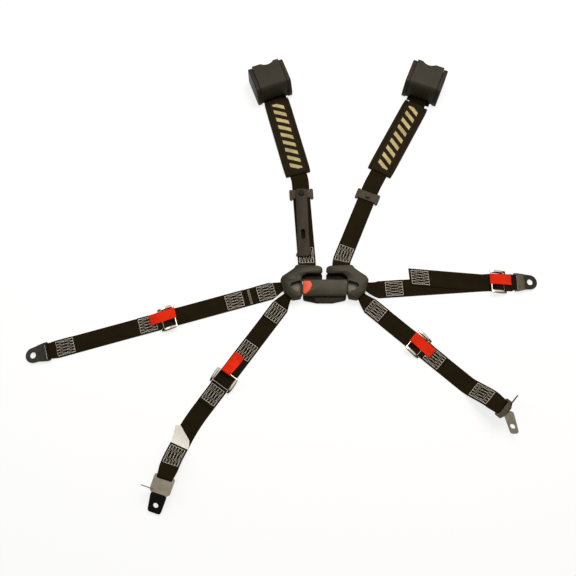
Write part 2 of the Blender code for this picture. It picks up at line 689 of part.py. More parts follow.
def build_slider(side, run, holder):
    """Chest slider on the strap; the left one carries the swinging link, the right one its catch."""
    inner = WEB_WIDTH / 2 + WEB_PLAY
    wide = inner + SLIDER_WALL
    long = SLIDER_LENGTH / 2
    outline = rounded(
        [
            (-wide, -EAR_FRONT), (-inner, -EAR_FRONT), (-inner, -long), (inner, -long), (inner, -EAR_FRONT),
            (wide, -EAR_FRONT), (wide, EAR_BACK), (inner, EAR_BACK), (inner, long), (-inner, long),
            (-inner, EAR_BACK), (-wide, EAR_BACK),
        ],
        3 * MM, 1,
    )
    pivot = run.place(SLIDER_AT[side])
    slider = part(side + "_chest_slider", slab([outline], 0, SLIDER_HEIGHT, MM), GREY_PLASTIC, pivot, holder)
    gap = WEB_THICK / 2 + 2 * FIT
    through = 2 * max(EAR_FRONT, EAR_BACK)
    channel = inner - FIT
    combine(slider, block((-channel, -through, SHOULDER_LIFT - gap), (channel, through, SHOULDER_LIFT + gap)))
    link_top = SLIDER_HEIGHT + FIT + LINK_THICK
    if side == "right":
        combine(slider, rod(STUD_RADIUS, SLIDER_HEIGHT - MM, link_top), "UNION")
        combine(slider, rod(STUD_RADIUS * 1.5, link_top - 0.5 * MM, link_top + 2.5 * MM), "UNION")
        return
    pin = 1.9 * MM
    combine(slider, rod(pin + FIT, -SLIDER_HEIGHT, SLIDER_HEIGHT * 2))
    hang = pivot @ Matrix.Rotation(radians(LINK_HANG), 4, "Z")
    half = LINK_WIDTH / 2
    foot = half + LINK_FLARE / 2
    body = rounded(
        [
            (-half, half * 0.9), (half, half * 0.9), (half, -LINK_SLOT_AT), (foot, 14 * MM - LINK_LENGTH),
            (foot - MM, -LINK_LENGTH), (-foot - LINK_FLARE, -LINK_LENGTH),
            (-foot - LINK_FLARE, 6 * MM - LINK_LENGTH), (-foot, 14 * MM - LINK_LENGTH),
            (-half, -LINK_SLOT_AT),
        ],
        8 * MM,
    )
    low = SLIDER_HEIGHT + FIT
    link = part("chest_link", slab([body], low, link_top, 0.8 * MM), GREY_PLASTIC, hang, holder)
    slot_half = STUD_RADIUS + 1.2 * MM
    reach = LINK_SLOT / 2 - slot_half

    def oval(radius):
        """A long round outline about the link's slot."""
        upper = arc((0, reach - LINK_SLOT_AT), radius, 0, 180, 7)
        return upper + arc((0, -reach - LINK_SLOT_AT), radius, 180, 360, 7)

    combine(link, slab([oval(slot_half + COLLAR)], low + MM, link_top + MM), "UNION")
    combine(link, slab([oval(slot_half)], 0, link_top * 2))
    combine(link, rod(pin + FIT, 0, link_top * 2))
    top = link_top + FIT
    head = PIN_HEAD
    profile = [
        (0, top + 4 * MM), (head * 0.7, top + 3.4 * MM), (head, top + MM), (head, top), (pin, top),
        (pin, SHOULDER_LIFT + gap + FIT), (0, SHOULDER_LIFT + gap + FIT),
    ]
    lathe("chest_link_pin", profile, STEEL, pivot, holder, 20)


def build_pad(side, run, holder):
    """Padded sleeve round the strap: crowned panel between two rolled edges, drawn in at both ends."""
    place = run.place(PAD_AT[side])
    half = PAD_WIDTH / 2
    rows = 10
    columns = 12
    mesh = bpy.data.meshes.new("pad")
    shape = bmesh.new()
    bmesh.ops.create_grid(shape, x_segments=columns, y_segments=rows, size=1)
    thick = PAD_HEIGHT - SHOULDER_LIFT - WEB_THICK
    for vert in shape.verts:
        across, along = vert.co.x, vert.co.y
        narrow = 1 - 0.05 * along ** 8
        crown = (1 - across ** 8) * (1 - 0.35 * along ** 10)
        roll = 1 - 0.16 * cos(pi * across) - 0.1
        vert.co = (half * narrow * across, PAD_LENGTH / 2 * along, thick * max(crown * roll, 0.12))
    top = SHOULDER_LIFT + WEB_THICK
    bmesh.ops.translate(shape, verts=shape.verts, vec=(0, 0, top))
    skirt = bmesh.ops.extrude_face_region(shape, geom=shape.faces[:])
    for item in skirt["geom"]:
        if isinstance(item, bmesh.types.BMVert):
            across = item.co.x / half
            item.co.z = 1.2 * MM * across ** 8
    bmesh.ops.recalc_face_normals(shape, faces=shape.faces)
    shape.to_mesh(mesh)
    shape.free()
    pad = part(side + "_shoulder_pad", mesh, PAD_FABRIC, place, holder)
    inner = WEB_WIDTH / 2 + PAD_PLAY
    gap = WEB_THICK / 2 + 2 * FIT
    combine(pad, block((-inner, -PAD_LENGTH, SHOULDER_LIFT - gap), (inner, PAD_LENGTH, SHOULDER_LIFT + gap)))


def build_retractor(side, place):
    """Frame, covers, spool, wound webbing and lock pawl of one retractor, mouth at the origin."""
    sign = SIDES[side]
    holder = empty(side + "_retractor", place)
    core = CORE_WIDTH / 2
    sheet = FRAME_SHEET
    cheek_out = core - COVER_WALL - 2 * MM
    cheek_in = cheek_out - sheet
    back = RETRACTOR_LENGTH - COVER_WALL - MM
    base = block((-cheek_out, COVER_SETBACK + COVER_WALL + MM, 0), (cheek_out, back, sheet))
    frame = part(side + "_retractor_frame", base, STEEL, None, holder)
    cheek_front = COVER_SETBACK + COVER_WALL + 2 * MM
    cheek_top = SPOOL_Z + ROLL_RADIUS - 2 * MM
    cheek = rounded(
        [
            (cheek_front, MM), (back - MM, MM), (back - MM, SPOOL_Z), (SPOOL_Y + 14 * MM, cheek_top),
            (SPOOL_Y - 14 * MM, cheek_top), (cheek_front, SPOOL_Z),
        ],
        6 * MM,
    )
    hole = arc((SPOOL_Y, SPOOL_Z), AXLE_RADIUS + FIT, 0, 337.5, 15)
    for low, high in ((-cheek_out, -cheek_in), (cheek_in, cheek_out)):
        combine(frame, turned(slab([cheek, hole], low, high), ALONG_X), "UNION")
    pawl_y = back - 5 * MM
    pawl_z = 20 * MM
    flange = WEB_WIDTH / 2 + WEB_PLAY
    ratchet_in = flange + 2 * MM
    pawl_pin = 2 * MM
    pin_ends = sorted((sign * ratchet_in, sign * (cheek_in + MM)))
    combine(frame, turned(rod(pawl_pin, *pin_ends), ALONG_X), "UNION", move(0, pawl_y, pawl_z))
    combine(frame, rod(MOUNT_HOLE, -sheet, 2 * sheet), "DIFFERENCE", move(0, SPOOL_Y + ROLL_RADIUS * 0.2))

    visor_end = RETRACTOR_LENGTH + VISOR
    crown = (COVER_SETBACK + CROWN_RADIUS + 2 * MM, RETRACTOR_HEIGHT - CROWN_RADIUS)
    profile = [
        (COVER_SETBACK, MM), (COVER_SETBACK, RETRACTOR_HEIGHT * 0.45), *arc(crown, CROWN_RADIUS, 165, 90, 4),
        (visor_end, RETRACTOR_HEIGHT), (visor_end, RETRACTOR_HEIGHT - VISOR_DROP / 2),
        (RETRACTOR_LENGTH, RETRACTOR_HEIGHT - VISOR_DROP), (RETRACTOR_LENGTH, MM),
    ]
    shell = turned(slab([profile], -core, core), ALONG_X)
    cover = part(side + "_retractor_cover", shell, GREY_PLASTIC, None, holder)
    inset = COVER_WALL
    hollow = [
        (COVER_SETBACK + inset, -MM), (COVER_SETBACK + inset, RETRACTOR_HEIGHT * 0.45),
        *arc(crown, CROWN_RADIUS - inset, 165, 90, 4),
        (RETRACTOR_LENGTH - inset, RETRACTOR_HEIGHT - inset), (RETRACTOR_LENGTH - inset, -MM),
    ]
    combine(cover, turned(slab([hollow], inset - core, core - inset), ALONG_X))
    mouth = WEB_WIDTH / 2 + 2 * WEB_PLAY
    mouth_top = SPOOL_Z - ROLL_RADIUS + 5 * MM
    combine(cover, block((-mouth, 0, 0), (mouth, COVER_SETBACK + inset + MM, mouth_top)))
    scallop = rod(SCALLOP_RADIUS, RETRACTOR_HEIGHT - 2 * VISOR_DROP, RETRACTOR_HEIGHT * 2, 32)
    scallop_y = RETRACTOR_LENGTH + SCALLOP_RADIUS + FIT
    combine(cover, scallop, "DIFFERENCE", move(-sign * SCALLOP_SHIFT, scallop_y))

    for name, face in (("lock_side_cap", 1), ("spring_side_cap", -1)):
        ends = sorted((sign * face * (core + FIT), sign * face * (core + CAP_WIDTH)))
        top = RETRACTOR_HEIGHT - 3 * MM
        outline = [(0, 0), (0, top * 0.36), (14 * MM, top), (visor_end, top), (visor_end, 0)]
        outline = rounded(outline, 10 * MM, 4)
        cap = turned(slab([outline], *ends, 1.5 * MM), ALONG_X)
        part(side + "_retractor_" + name, cap, DARK_PLASTIC, None, holder)

    spin = Matrix.Translation((0, SPOOL_Y, SPOOL_Z)) @ Matrix.Rotation(sign * pi / 2, 4, "Y")
    disc = ROLL_RADIUS + MM
    end = cheek_out + MM
    spool_profile = [
        (0, end), (AXLE_RADIUS, end), (AXLE_RADIUS, flange + 2 * MM), (disc, flange + 2 * MM), (disc, flange),
        (CORE_RADIUS, flange), (CORE_RADIUS, -flange), (disc, -flange), (disc, -flange - 2 * MM),
        (AXLE_RADIUS, -flange - 2 * MM), (AXLE_RADIUS, -end), (0, -end),
    ]
    spool = lathe(side + "_retractor_spool", spool_profile, DARK_PLASTIC, spin, holder, 18)
    teeth = []
    for i in range(RATCHET_TEETH):
        for radius, share in ((RATCHET_RADIUS, 0), (RATCHET_RADIUS - TOOTH, 0.25)):
            angle = 2 * pi * (i + share) / RATCHET_TEETH
            teeth.append((radius * cos(angle), radius * sin(angle)))
    combine(spool, slab([teeth], flange + MM, cheek_in - 0.5 * MM), "UNION")
    web = WEB_WIDTH / 2
    roll_profile = [
        (CORE_RADIUS + FIT, web), (ROLL_RADIUS, web), (ROLL_RADIUS, -web), (CORE_RADIUS + FIT, -web),
    ]
    lathe(side + "_webbing_roll", roll_profile, BLACK_WEBBING, spin, holder, 24, True)
    tip = [
        (-3.5 * MM, 1.5 * MM), (-8.5 * MM, -7 * MM), (-7 * MM, -10 * MM), (MM, -6 * MM), (4 * MM, 0),
        (1.5 * MM, 4 * MM), (-2 * MM, 4 * MM),
    ]
    eye = arc((0, 0), pawl_pin + FIT, 0, 337.5, 15)
    inner_edge, outer_edge = sorted((sign * (ratchet_in + 0.5 * MM), sign * (cheek_in - 0.5 * MM)))
    pawl = turned(slab([rounded(tip, MM, 2), eye], inner_edge, outer_edge), ALONG_X)
    part(side + "_lock_pawl", pawl, STEEL, move(0, pawl_y, pawl_z), holder)


def anchor_at(size):
    """Distance along a limb's run of its anchor's bar."""
    return size["adjuster"] + REAR_BAR_AT + size["span"]


def build_limb(name):
    """Straps, adjuster, pull tab and anchor of one lap or crotch limb."""
    size = LIMBS[name]
    side, kind = name.split("_")
    run = Run(*yoke_point(side, LAP_BAR if kind == "lap" else CROTCH_BAR), size["run"])
    holder = empty(name, Matrix())
    ground = WEB_THICK / 2
    foot_edge = FOOT_WIDTH[side] * 0.4 * sin(radians(FOOT_ROLL[side]))
    rise = 0 if kind == "lap" else FOOT_LENGTH[side] * sin(radians(BRACKET_DROP)) + foot_edge
    build_limb_strap(name, size, run, holder)
    build_anchor_strap(name, size, run, holder, rise)
    build_adjuster(name, size, run, holder)
    build_tab(name, size, run, holder)
    bar = run.place(anchor_at(size), ground + bar_radius(ANCHOR_TURN) + rise)
    if kind == "lap":
        build_plate(name, bar @ Matrix.Rotation(radians(PLATE_RAISE), 4, "X"), holder)
    else:
        build_bracket(name, side, bar, holder)


def build_limb_strap(name, size, run, holder):
    """The strap from the yoke to the adjuster, round its lock bar and back as a tail."""
    adjuster = size["adjuster"]
    ground = WEB_THICK / 2
    turn = bar_radius(LOCK_RADIUS)
    settle = BAR_WIDTH / 2 + SETTLE
    ease = adjuster - CROSSBAR_AT - SETTLE * 0.6
    steps = 5
    upper = [
        (ease, ground + LAYER, WEB_WIDTH, 0), (adjuster - CROSSBAR_AT, TAIL_LEVEL, WEB_WIDTH, 0),
        (adjuster - CROSSBAR_AT * 0.5, (TAIL_LEVEL + ground + 2 * turn) / 2, WEB_WIDTH, 0),
    ]
    round_bar = turn_round(adjuster, LOCK_LEVEL, turn, -90, 90, WEB_WIDTH)
    slope = sin(radians(size["swing"])) / cos(radians(size["swing"]))
    swung = [ease + (size["tail"] - ease) * i / steps for i in range(1, steps + 1)]
    level = ground + LAYER if size["under"] else ground
    stations = yoke_fold(GATHER_WIDTH, level, size["yoke_fold"])
    stations += [(settle + (ease - settle) * i / steps, level, WEB_WIDTH, 0) for i in range(steps)]
    if size["under"]:
        stations += upper + round_bar[::-1] + [(ease, ground, WEB_WIDTH, 0)]
        stations += [(s, ground, WEB_WIDTH, (ease - s) * slope) for s in swung]
    else:
        stations += [(ease, ground, WEB_WIDTH, 0)] + round_bar + upper[::-1]
        stations += [(s, ground + LAYER, WEB_WIDTH, (ease - s) * slope) for s in swung]
    ribbon(name + "_strap", run, stations, WEB_THICK, BLACK_WEBBING, holder)


def build_anchor_strap(name, size, run, holder, rise):
    """The strap from the adjuster's rear bar to the anchor, folded back and sewn at both ends."""
    ground = WEB_THICK / 2
    rear = size["adjuster"] + REAR_BAR_AT
    anchor_turn = bar_radius(ANCHOR_TURN)
    half = ANCHOR_BAR / 2
    bar = anchor_at(size)
    ease = 0.6 * min(SETTLE, size["rear_fold"], size["anchor_fold"])
    anchor_z = ground + anchor_turn + rise
    rear_turn = bar_radius(CROSSBAR / 2)
    rear_lean = degrees(atan2(REAR_LEVEL + rear_turn - ground - LAYER, ease))
    anchor_lean = degrees(atan2(2 * anchor_turn - LAYER, half + ease))
    ramp = 2.4 * SETTLE
    steps = 12

    def height(s):
        """Floor level, rising smoothly to the anchor's bar."""
        share = min(max((s - bar + half + ease + ramp) / ramp, 0), 1)
        return ground + rise * share * share * (3 - 2 * share)

    def layer(first, last, lift):
        """Stations of a flat layer between two distances."""
        spots = [first + (last - first) * i / steps for i in range(steps + 1)]
        return [(s, height(s) + lift, WEB_WIDTH, 0) for s in spots]

    stations = [(s, ground + LAYER, WEB_WIDTH, 0) for s in (rear + size["rear_fold"], rear + ease)]
    stations += turn_round(rear, REAR_LEVEL, rear_turn, 90 - rear_lean, 270, WEB_WIDTH)
    stations += layer(rear + ease, bar - half - ease, 0)
    stations += turn_round(bar, anchor_z, anchor_turn, -90, 90 + anchor_lean, DRAWN_WIDTH)
    stations += layer(bar - half - ease, bar - half - size["anchor_fold"], LAYER)[::3]
    ribbon(name + "_anchor_strap", run, stations, WEB_THICK, BLACK_WEBBING, holder)


def build_adjuster(name, size, run, holder):
    """Chrome frame with rising ears and its lock bar; the frame's origin is on its rear bar."""
    inner = WEB_WIDTH / 2 + WEB_PLAY
    outer = inner + RAIL
    front = -REAR_BAR_AT - CROSSBAR_AT
    top = CROSSBAR_LEVEL - REAR_LEVEL
    half = CROSSBAR / 2
    cross = turned(rod(half, -inner - MM, inner + MM, 12), ALONG_X)
    place = run.place(size["adjuster"] + REAR_BAR_AT, REAR_LEVEL)
    frame = part(name + "_adjuster_frame", cross, CHROME, place, holder)
    combine(frame, turned(rod(half, -inner - MM, inner + MM, 12), ALONG_X), "UNION", move(0, front, top))
    wall = half + BAR_WALL
    lock = (-REAR_BAR_AT, LOCK_LEVEL - REAR_LEVEL)
    ear = [
        *arc((0, 0), wall, -90, 60, 5), (lock[0] * 0.5, lock[1] + EAR_HEIGHT * 0.75),
        (lock[0], lock[1] + EAR_HEIGHT), (front * 0.55, top + wall * 0.8),
        *arc((front, top), wall, 80, 250, 6), (front * 0.7, lock[1] + EAR_HEIGHT * 0.3),
        (lock[0] * 1.9, -wall * 0.6), (lock[0] * 1.3, -wall),
    ]
    pin = LOCK_RADIUS * 0.6
    groove = [
        *arc((lock[0] + LOCK_SLIDE, lock[1]), pin + FIT, -90, 90, 4),
        *arc((lock[0] - LOCK_SLIDE, lock[1]), pin + FIT, 90, 270, 4),
    ]
    for low, high in ((-outer, -inner), (inner, outer)):
        combine(frame, turned(slab([ear, groove], low, high), ALONG_X), "UNION")
    roller = turned(rod(LOCK_RADIUS, FIT - inner, inner - FIT, 14), ALONG_X)
    bar = part(name + "_lock_bar", roller, CHROME, run.place(size["adjuster"], LOCK_LEVEL), holder)
    combine(bar, turned(rod(pin, MM - outer, outer - MM, 10), ALONG_X), "UNION")


def build_tab(name, size, run, holder):
    """The pull tab: a red strip hooked round the crossbar, lying along the strap; origin on the crossbar."""
    radius = CROSSBAR / 2 + FIT + TAB_THICK / 2
    sense = -1 if size["tab_inward"] else 1
    above = WEB_THICK / 2 + FIT + TAB_THICK / 2 + TAB_GAP - CROSSBAR_LEVEL
    rest = WEB_THICK / 2 + LAYER + above
    line = [(size["tab"], rest)]
    if size["tab_inward"]:
        line.append((CROSSBAR_AT, rest))
    else:
        line.append((CROSSBAR_AT + REAR_BAR_AT, REAR_LEVEL + bar_radius(CROSSBAR / 2) + above))
        line.append((CROSSBAR_AT, LOCK_LEVEL + bar_radius(LOCK_RADIUS) + above))
    fall = degrees(atan2(radius - line[-1][1], CROSSBAR_AT))
    under = radius + (line[-1][1] - radius) * TAB_SEWN / CROSSBAR_AT - TAB_THICK - 2 * FIT
    bottom = degrees(atan2(under + radius, TAB_SEWN))
    line += arc((0, 0), radius, 90 - fall, 270 + bottom, 10)
    line.append((TAB_SEWN, under))
    stations = [(sense * s, z, TAB_WIDTH, 0) for s, z in line]
    tab_run = Run((size["tab_shift"], 0), 90, [])
    tab = ribbon(name + "_pull_tab", tab_run, stations, TAB_THICK, RED_WEBBING, holder)
    tab.matrix_basis = run.place(size["adjuster"] - CROSSBAR_AT, CROSSBAR_LEVEL)


def build_plate(name, place, holder):
    """Lap anchor: pressed plate with webbing bar and slot, bent to a bolt eye; origin at the bar."""
    half = ANCHOR_SHEET / 2
    slot = DRAWN_WIDTH / 2 + WEB_PLAY
    wide = slot + 4 * MM
    bar_half = ANCHOR_BAR / 2
    end = bar_half + ANCHOR_SLOT
    crease = end + CREASE_MARGIN
    neck = wide * 0.86
    outline = [
        *rounded_corner(-wide, -bar_half), (-wide, end), (-neck, crease + MM), (neck, crease + MM),
        (wide, end), *rounded_corner(wide, -bar_half),
    ]
    top = end - 0.5 * MM
    window = rounded([(-slot, bar_half), (slot, bar_half), (slot * 0.92, top), (-slot * 0.92, top)], 1.5 * MM)
    plate = part(name + "_anchor_plate", slab([outline, window], -half, half), BLACK_STEEL, place, holder)
    hole = (0, HOLE_AT - crease)
    root = neck - 0.4 * MM
    eye = [(-root, -half), *arc(hole, EYE_RADIUS, 170, 10, 8), (root, -half)]
    bolt = arc(hole, EYE_HOLE, 0, 337.5, 15)
    bend = Matrix.Translation((0, crease, 0)) @ Matrix.Rotation(-radians(EYE_BEND), 4, "X")
    combine(plate, slab([eye, bolt], -half, half), "UNION", bend)


def rounded_corner(x, y):
    """A corner cut off by a short chamfer, in outline order."""
    cut = 3 * MM
    if x < 0:
        return [(x + cut, y), (x, y + cut)]
    return [(x, y + cut), (x - cut, y)]


def foot_bend(side):
    """Place of a bracket's foot in the bracket's frame: dropped at the fold, and on one side turned over."""
    fold = ANCHOR_BAR / 2 + ANCHOR_SLOT + FOLD_MARGIN[side]
    drop = Matrix.Rotation(-radians(BRACKET_DROP), 4, "X")
    yaw = Matrix.Rotation(radians(FOOT_YAW[side]), 4, "Z")
    return move(0, fold) @ drop @ yaw @ Matrix.Rotation(radians(FOOT_ROLL[side]), 4, "Y")


def build_bracket(name, side, place, holder):
    """Crotch floor bracket: slotted plate, folded foot with a bolt hole and a side fin; origin at the bar."""
    sign = SIDES[side]
    half = ANCHOR_SHEET / 2
    slot = DRAWN_WIDTH / 2 + WEB_PLAY
    wide = slot + 5 * MM
    bar_half = ANCHOR_BAR / 2
    end = bar_half + ANCHOR_SLOT
    fold = end + FOLD_MARGIN[side]
    width, length = FOOT_WIDTH[side], FOOT_LENGTH[side]
    neck = width / 2 - 2 * MM
    shoulder = fold - 6 * MM
    outline = [
        *rounded_corner(-wide, -bar_half), (-wide, shoulder), (-neck, fold + MM), (neck, fold + MM),
        (wide, shoulder), *rounded_corner(wide, -bar_half),
    ]
    window = rounded([(-slot, bar_half), (slot, bar_half), (slot, end - MM), (-slot, end - MM)], 2 * MM, 2)
    bracket = part(name + "_bracket", slab([outline, window], -half, half), BLACK_STEEL, place, holder)
    foot = rounded(
        [(-width / 2, -half), (width / 2, -half), (width * 0.4, length), (-width * 0.4, length)], 8 * MM)
    bolt = arc((0, length - FOOT_EDGE), BOLT_HOLE, 0, 337.5, 15)
    combine(bracket, slab([foot, bolt], -half, half), "UNION", foot_bend(side))
    fin = [(0, 0), (26 * MM, 5 * MM), (30 * MM, 9 * MM), (22 * MM, 12 * MM), (0, 14 * MM)]
    upright = turned(slab([flipped(fin, -sign)], -half, half), ALONG_Y)
    combine(bracket, upright, "UNION", move(-sign * (wide - 7 * MM), shoulder - half, -half * 0.7))


build_buckle()
for which in SIDES:
    build_yoke(which)
    build_shoulder(which)
for limb in LIMBS:
    build_limb(limb)
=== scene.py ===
from math import atan2, cos, degrees, hypot, pi, radians, sin, tan

import bmesh
import bpy
from mathutils import Matrix, Vector


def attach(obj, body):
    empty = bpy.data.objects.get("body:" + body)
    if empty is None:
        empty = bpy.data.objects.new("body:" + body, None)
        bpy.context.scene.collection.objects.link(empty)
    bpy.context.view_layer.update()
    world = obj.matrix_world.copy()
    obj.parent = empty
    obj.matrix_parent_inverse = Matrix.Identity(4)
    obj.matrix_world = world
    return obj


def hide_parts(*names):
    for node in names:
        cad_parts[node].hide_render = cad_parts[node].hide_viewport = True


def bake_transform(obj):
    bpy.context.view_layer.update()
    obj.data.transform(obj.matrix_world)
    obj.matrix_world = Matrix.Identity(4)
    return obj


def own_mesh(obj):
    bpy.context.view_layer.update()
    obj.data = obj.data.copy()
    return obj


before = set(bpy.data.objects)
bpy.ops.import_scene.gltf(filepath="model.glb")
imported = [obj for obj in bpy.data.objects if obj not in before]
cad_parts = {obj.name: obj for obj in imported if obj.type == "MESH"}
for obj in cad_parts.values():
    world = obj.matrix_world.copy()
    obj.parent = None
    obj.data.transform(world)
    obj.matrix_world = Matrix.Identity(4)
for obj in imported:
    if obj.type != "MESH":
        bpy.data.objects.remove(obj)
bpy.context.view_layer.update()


# Studio: the harness lies flat on a white laminate table and is seen from above the
# wearer's feet, under one broad soft light with a weaker fill from the left.
MM = 0.001  # all sizes are written in millimetres
CAMERA_AT = (-101.1 * MM, -672.0 * MM, 2092.3 * MM)
CAMERA_TILT = 18
LENS_MM = 49.25
SENSOR_MM = 36
TABLE_SIZE = 12
TABLE_DROP = 0.4


def linear(hex_colour):
    """The linear RGBA of an sRGB hex colour."""
    channels = [(hex_colour >> shift & 255) / 255 for shift in (16, 8, 0)]
    return [c / 12.92 if c <= 0.04045 else ((c + 0.055) / 1.055) ** 2.4
            for c in channels] + [1]


def output(source):
    """A socket as it is, or the first output of a node."""
    return source.outputs[0] if isinstance(source, bpy.types.Node) else source


def add(tree, kind, settings=None, links=None):
    """Add a shader node, set its options or sockets and link its inputs."""
    made = tree.nodes.new("ShaderNode" + kind)
    for key, value in (settings or {}).items():
        if isinstance(key, str) and hasattr(made, key):
            setattr(made, key, value)
        else:
            made.inputs[key].default_value = value
    for key, source in (links or {}).items():
        tree.links.new(output(source), made.inputs[key])
    return made


def seen(tree):
    """1 for rays from the camera, off a mirror or through glass, and 0 for the others."""
    path = add(tree, "LightPath").outputs
    direct = add(tree, "Math", {"operation": "MAXIMUM"},
                 {0: path["Is Camera Ray"], 1: path["Is Glossy Ray"]})
    return add(tree, "Math", {"operation": "MAXIMUM"},
               {0: direct, 1: path["Is Transmission Ray"]})


scene = bpy.context.scene
scene.view_settings.view_transform = "Standard"
camera_data = bpy.data.cameras.new("camera")
camera_data.lens = LENS_MM
camera_data.sensor_width = SENSOR_MM
camera = bpy.data.objects.new("camera", camera_data)
camera.location = CAMERA_AT
camera.rotation_euler = (radians(CAMERA_TILT), 0, 0)
scene.collection.objects.link(camera)
scene.camera = camera

world = bpy.data.worlds.new("studio")
world.use_nodes = True
scene.world = world
tree = world.node_tree
tree.nodes.clear()
ambient = add(tree, "Background", {"Color": linear(0xF4F6FA), "Strength": 0.3})
backdrop = add(tree, "Background", {"Color": linear(0xFFFFFF), "Strength": 1})
both = add(tree, "MixShader", {}, {0: seen(tree), 1: ambient, 2: backdrop})
add(tree, "OutputWorld", {}, {"Surface": both})

# White laminate: flat and even, it looks white from anywhere but keeps the shadows.
laminate = bpy.data.materials.new("white laminate")
laminate.use_nodes = True
tree = laminate.node_tree
tree.nodes.clear()
share = add(tree, "Math", {"operation": "MULTIPLY", 1: 0.72}, {0: seen(tree)})
lit = add(tree, "BsdfDiffuse", {"Color": linear(0xF8F8F8)})
white = add(tree, "Emission", {"Color": linear(0xFFFFFF), "Strength": 1.08})
both = add(tree, "MixShader", {}, {0: share, 1: lit, 2: white})
add(tree, "OutputMaterial", {}, {"Surface": both})
bpy.ops.mesh.primitive_plane_add(size=TABLE_SIZE, location=(0, 0, -TABLE_DROP * MM))
floor = bpy.context.object
floor.name = "floor"
floor.data.materials.append(laminate)

for name, place, size, power, tint in (
    ("key", (0.45, 1.25, 2.3), 1.7, 60, 0xFFF8EC),
    ("fill", (-2.2, 0.4, 1.4), 1.4, 10, 0xF2F6FF),
):
    lamp = bpy.data.lights.new(name, "AREA")
    lamp.size = size
    lamp.energy = power
    lamp.color = linear(tint)[:3]
    light = bpy.data.objects.new(name, lamp)
    light.location = place
    light.rotation_euler = (-Vector(place)).to_track_quat("-Z", "Y").to_euler()
    scene.collection.objects.link(light)


# Retractors: moulded nylon shells screwed over a folded steel frame with the spool in
# it. The cover is a grained top between two end caps that reach past its mouth.
SIDES = ("left", "right")
WELD = 0.02
SHARP = 32


def pair(part):
    """The names of a part on the left and on the right."""
    return [side + "_" + part for side in SIDES]


def per(size_mm):
    """Texture scale of a pattern whose repeat is this many millimetres."""
    return 1 / (size_mm * MM)


def start_finish(name, sockets):
    """A new material, some of its shader's own sockets set, and its node tree."""
    material = bpy.data.materials.new(name)
    material.use_nodes = True
    tree = material.node_tree
    for socket, value in sockets.items():
        tree.nodes["Principled BSDF"].inputs[socket].default_value = value
    return material, tree


def end_finish(tree, colour, dull, bump):
    """Link a material's colour, roughness and bump to its shader."""
    inputs = tree.nodes["Principled BSDF"].inputs
    tree.links.new(output(colour), inputs["Base Color"])
    tree.links.new(output(dull), inputs["Roughness"])
    tree.links.new(output(bump), inputs["Normal"])


def moulded(name, colour, worn, roughness=0.5, grain_mm=1.1, gloss=0.22, edge_mm=0.9):
    """Moulded glass-filled nylon: a spark-eroded grain, drawn coarse enough to show,
    with painted shade in the hollows, and paler edges that are partly rubbed wear
    and partly painted highlight."""
    material, tree = start_finish(name, {"Specular IOR Level": gloss})
    place = add(tree, "TexCoord").outputs["Object"]
    grain = add(tree, "TexNoise", {"Scale": per(grain_mm), "Detail": 3, "Roughness": 0.6},
                {"Vector": place})
    cloud = add(tree, "TexNoise", {"Scale": per(34), "Detail": 4}, {"Vector": place})
    rounded = add(tree, "Bevel", {"Radius": edge_mm * MM, "samples": 4})
    facing = add(tree, "VectorMath", {"operation": "DOT_PRODUCT"},
                 {0: rounded, 1: add(tree, "NewGeometry").outputs["Normal"]})
    # paler edges: partly rubbed wear, partly painted highlight
    rubbed_edge_and_highlight = add(tree, "MapRange", {"From Min": 1.0, "From Max": 0.86, "To Max": 0.75},
              {"Value": facing.outputs["Value"]})
    rubbed_edge_and_highlight = add(tree, "Math", {"operation": "MULTIPLY", "use_clamp": True}, {0: rubbed_edge_and_highlight, 1: cloud})
    mottle = add(tree, "MapRange",
                 {"From Min": 0.3, "From Max": 0.7, "To Min": 0.86, "To Max": 1.1},
                 {"Value": cloud})
    speck = add(tree, "MapRange",
                {"From Min": 0.25, "From Max": 0.75, "To Min": 0.88, "To Max": 1.12},
                {"Value": grain})
    level = add(tree, "Math", {"operation": "MULTIPLY"}, {0: mottle, 1: speck})
    # painted shade: ambient occlusion darkens the hollows and the gaps between parts
    hollow = add(tree, "AmbientOcclusion", {"Distance": 14 * MM, "samples": 6})
    shade = add(tree, "MapRange", {"From Min": 0.25, "From Max": 0.8, "To Min": 0.22},
                {"Value": hollow.outputs["AO"]})
    level = add(tree, "Math", {"operation": "MULTIPLY"}, {0: level, 1: shade})
    base = add(tree, "VectorMath", {"operation": "SCALE", 0: linear(colour)[:3]},
               {"Scale": level})
    mixed = add(tree, "Mix", {"data_type": "RGBA", 7: linear(worn)}, {0: rubbed_edge_and_highlight, 6: base})
    dull = add(tree, "MapRange", {"To Min": roughness - 0.08, "To Max": roughness + 0.1},
               {"Value": grain})
    bump = add(tree, "Bump", {"Strength": 0.35, "Distance": 0.25 * MM}, {"Height": grain})
    end_finish(tree, mixed.outputs[2], dull, bump)
    return material


def bare_steel(name, colour, roughness, brush_mm=0.5):
    """Cold-rolled steel, zinc bright, phosphated, blackened or darkened as painted shade:
    a rolled grain, drawn coarse, that shows as soft streaks in the gloss over a cloudy tone."""
    material, tree = start_finish(name, {"Metallic": 1})
    place = add(tree, "TexCoord").outputs["Object"]
    streak = add(tree, "Mapping", {"Scale": (1, 0.12, 1)}, {"Vector": place})
    grain = add(tree, "TexNoise", {"Scale": per(brush_mm), "Detail": 2}, {"Vector": streak})
    cloud = add(tree, "TexNoise", {"Scale": per(14), "Detail": 5}, {"Vector": place})
    tone = add(tree, "MapRange",
               {"From Min": 0.3, "From Max": 0.7, "To Min": 0.82, "To Max": 1.12},
               {"Value": cloud})
    base = add(tree, "VectorMath", {"operation": "SCALE", 0: linear(colour)[:3]},
               {"Scale": tone})
    dull = add(tree, "MapRange", {"To Min": roughness - 0.07, "To Max": roughness + 0.1},
               {"Value": grain})
    bump = add(tree, "Bump", {"Strength": 0.12, "Distance": 0.06 * MM}, {"Height": grain})
    end_finish(tree, base, dull, bump)
    return material


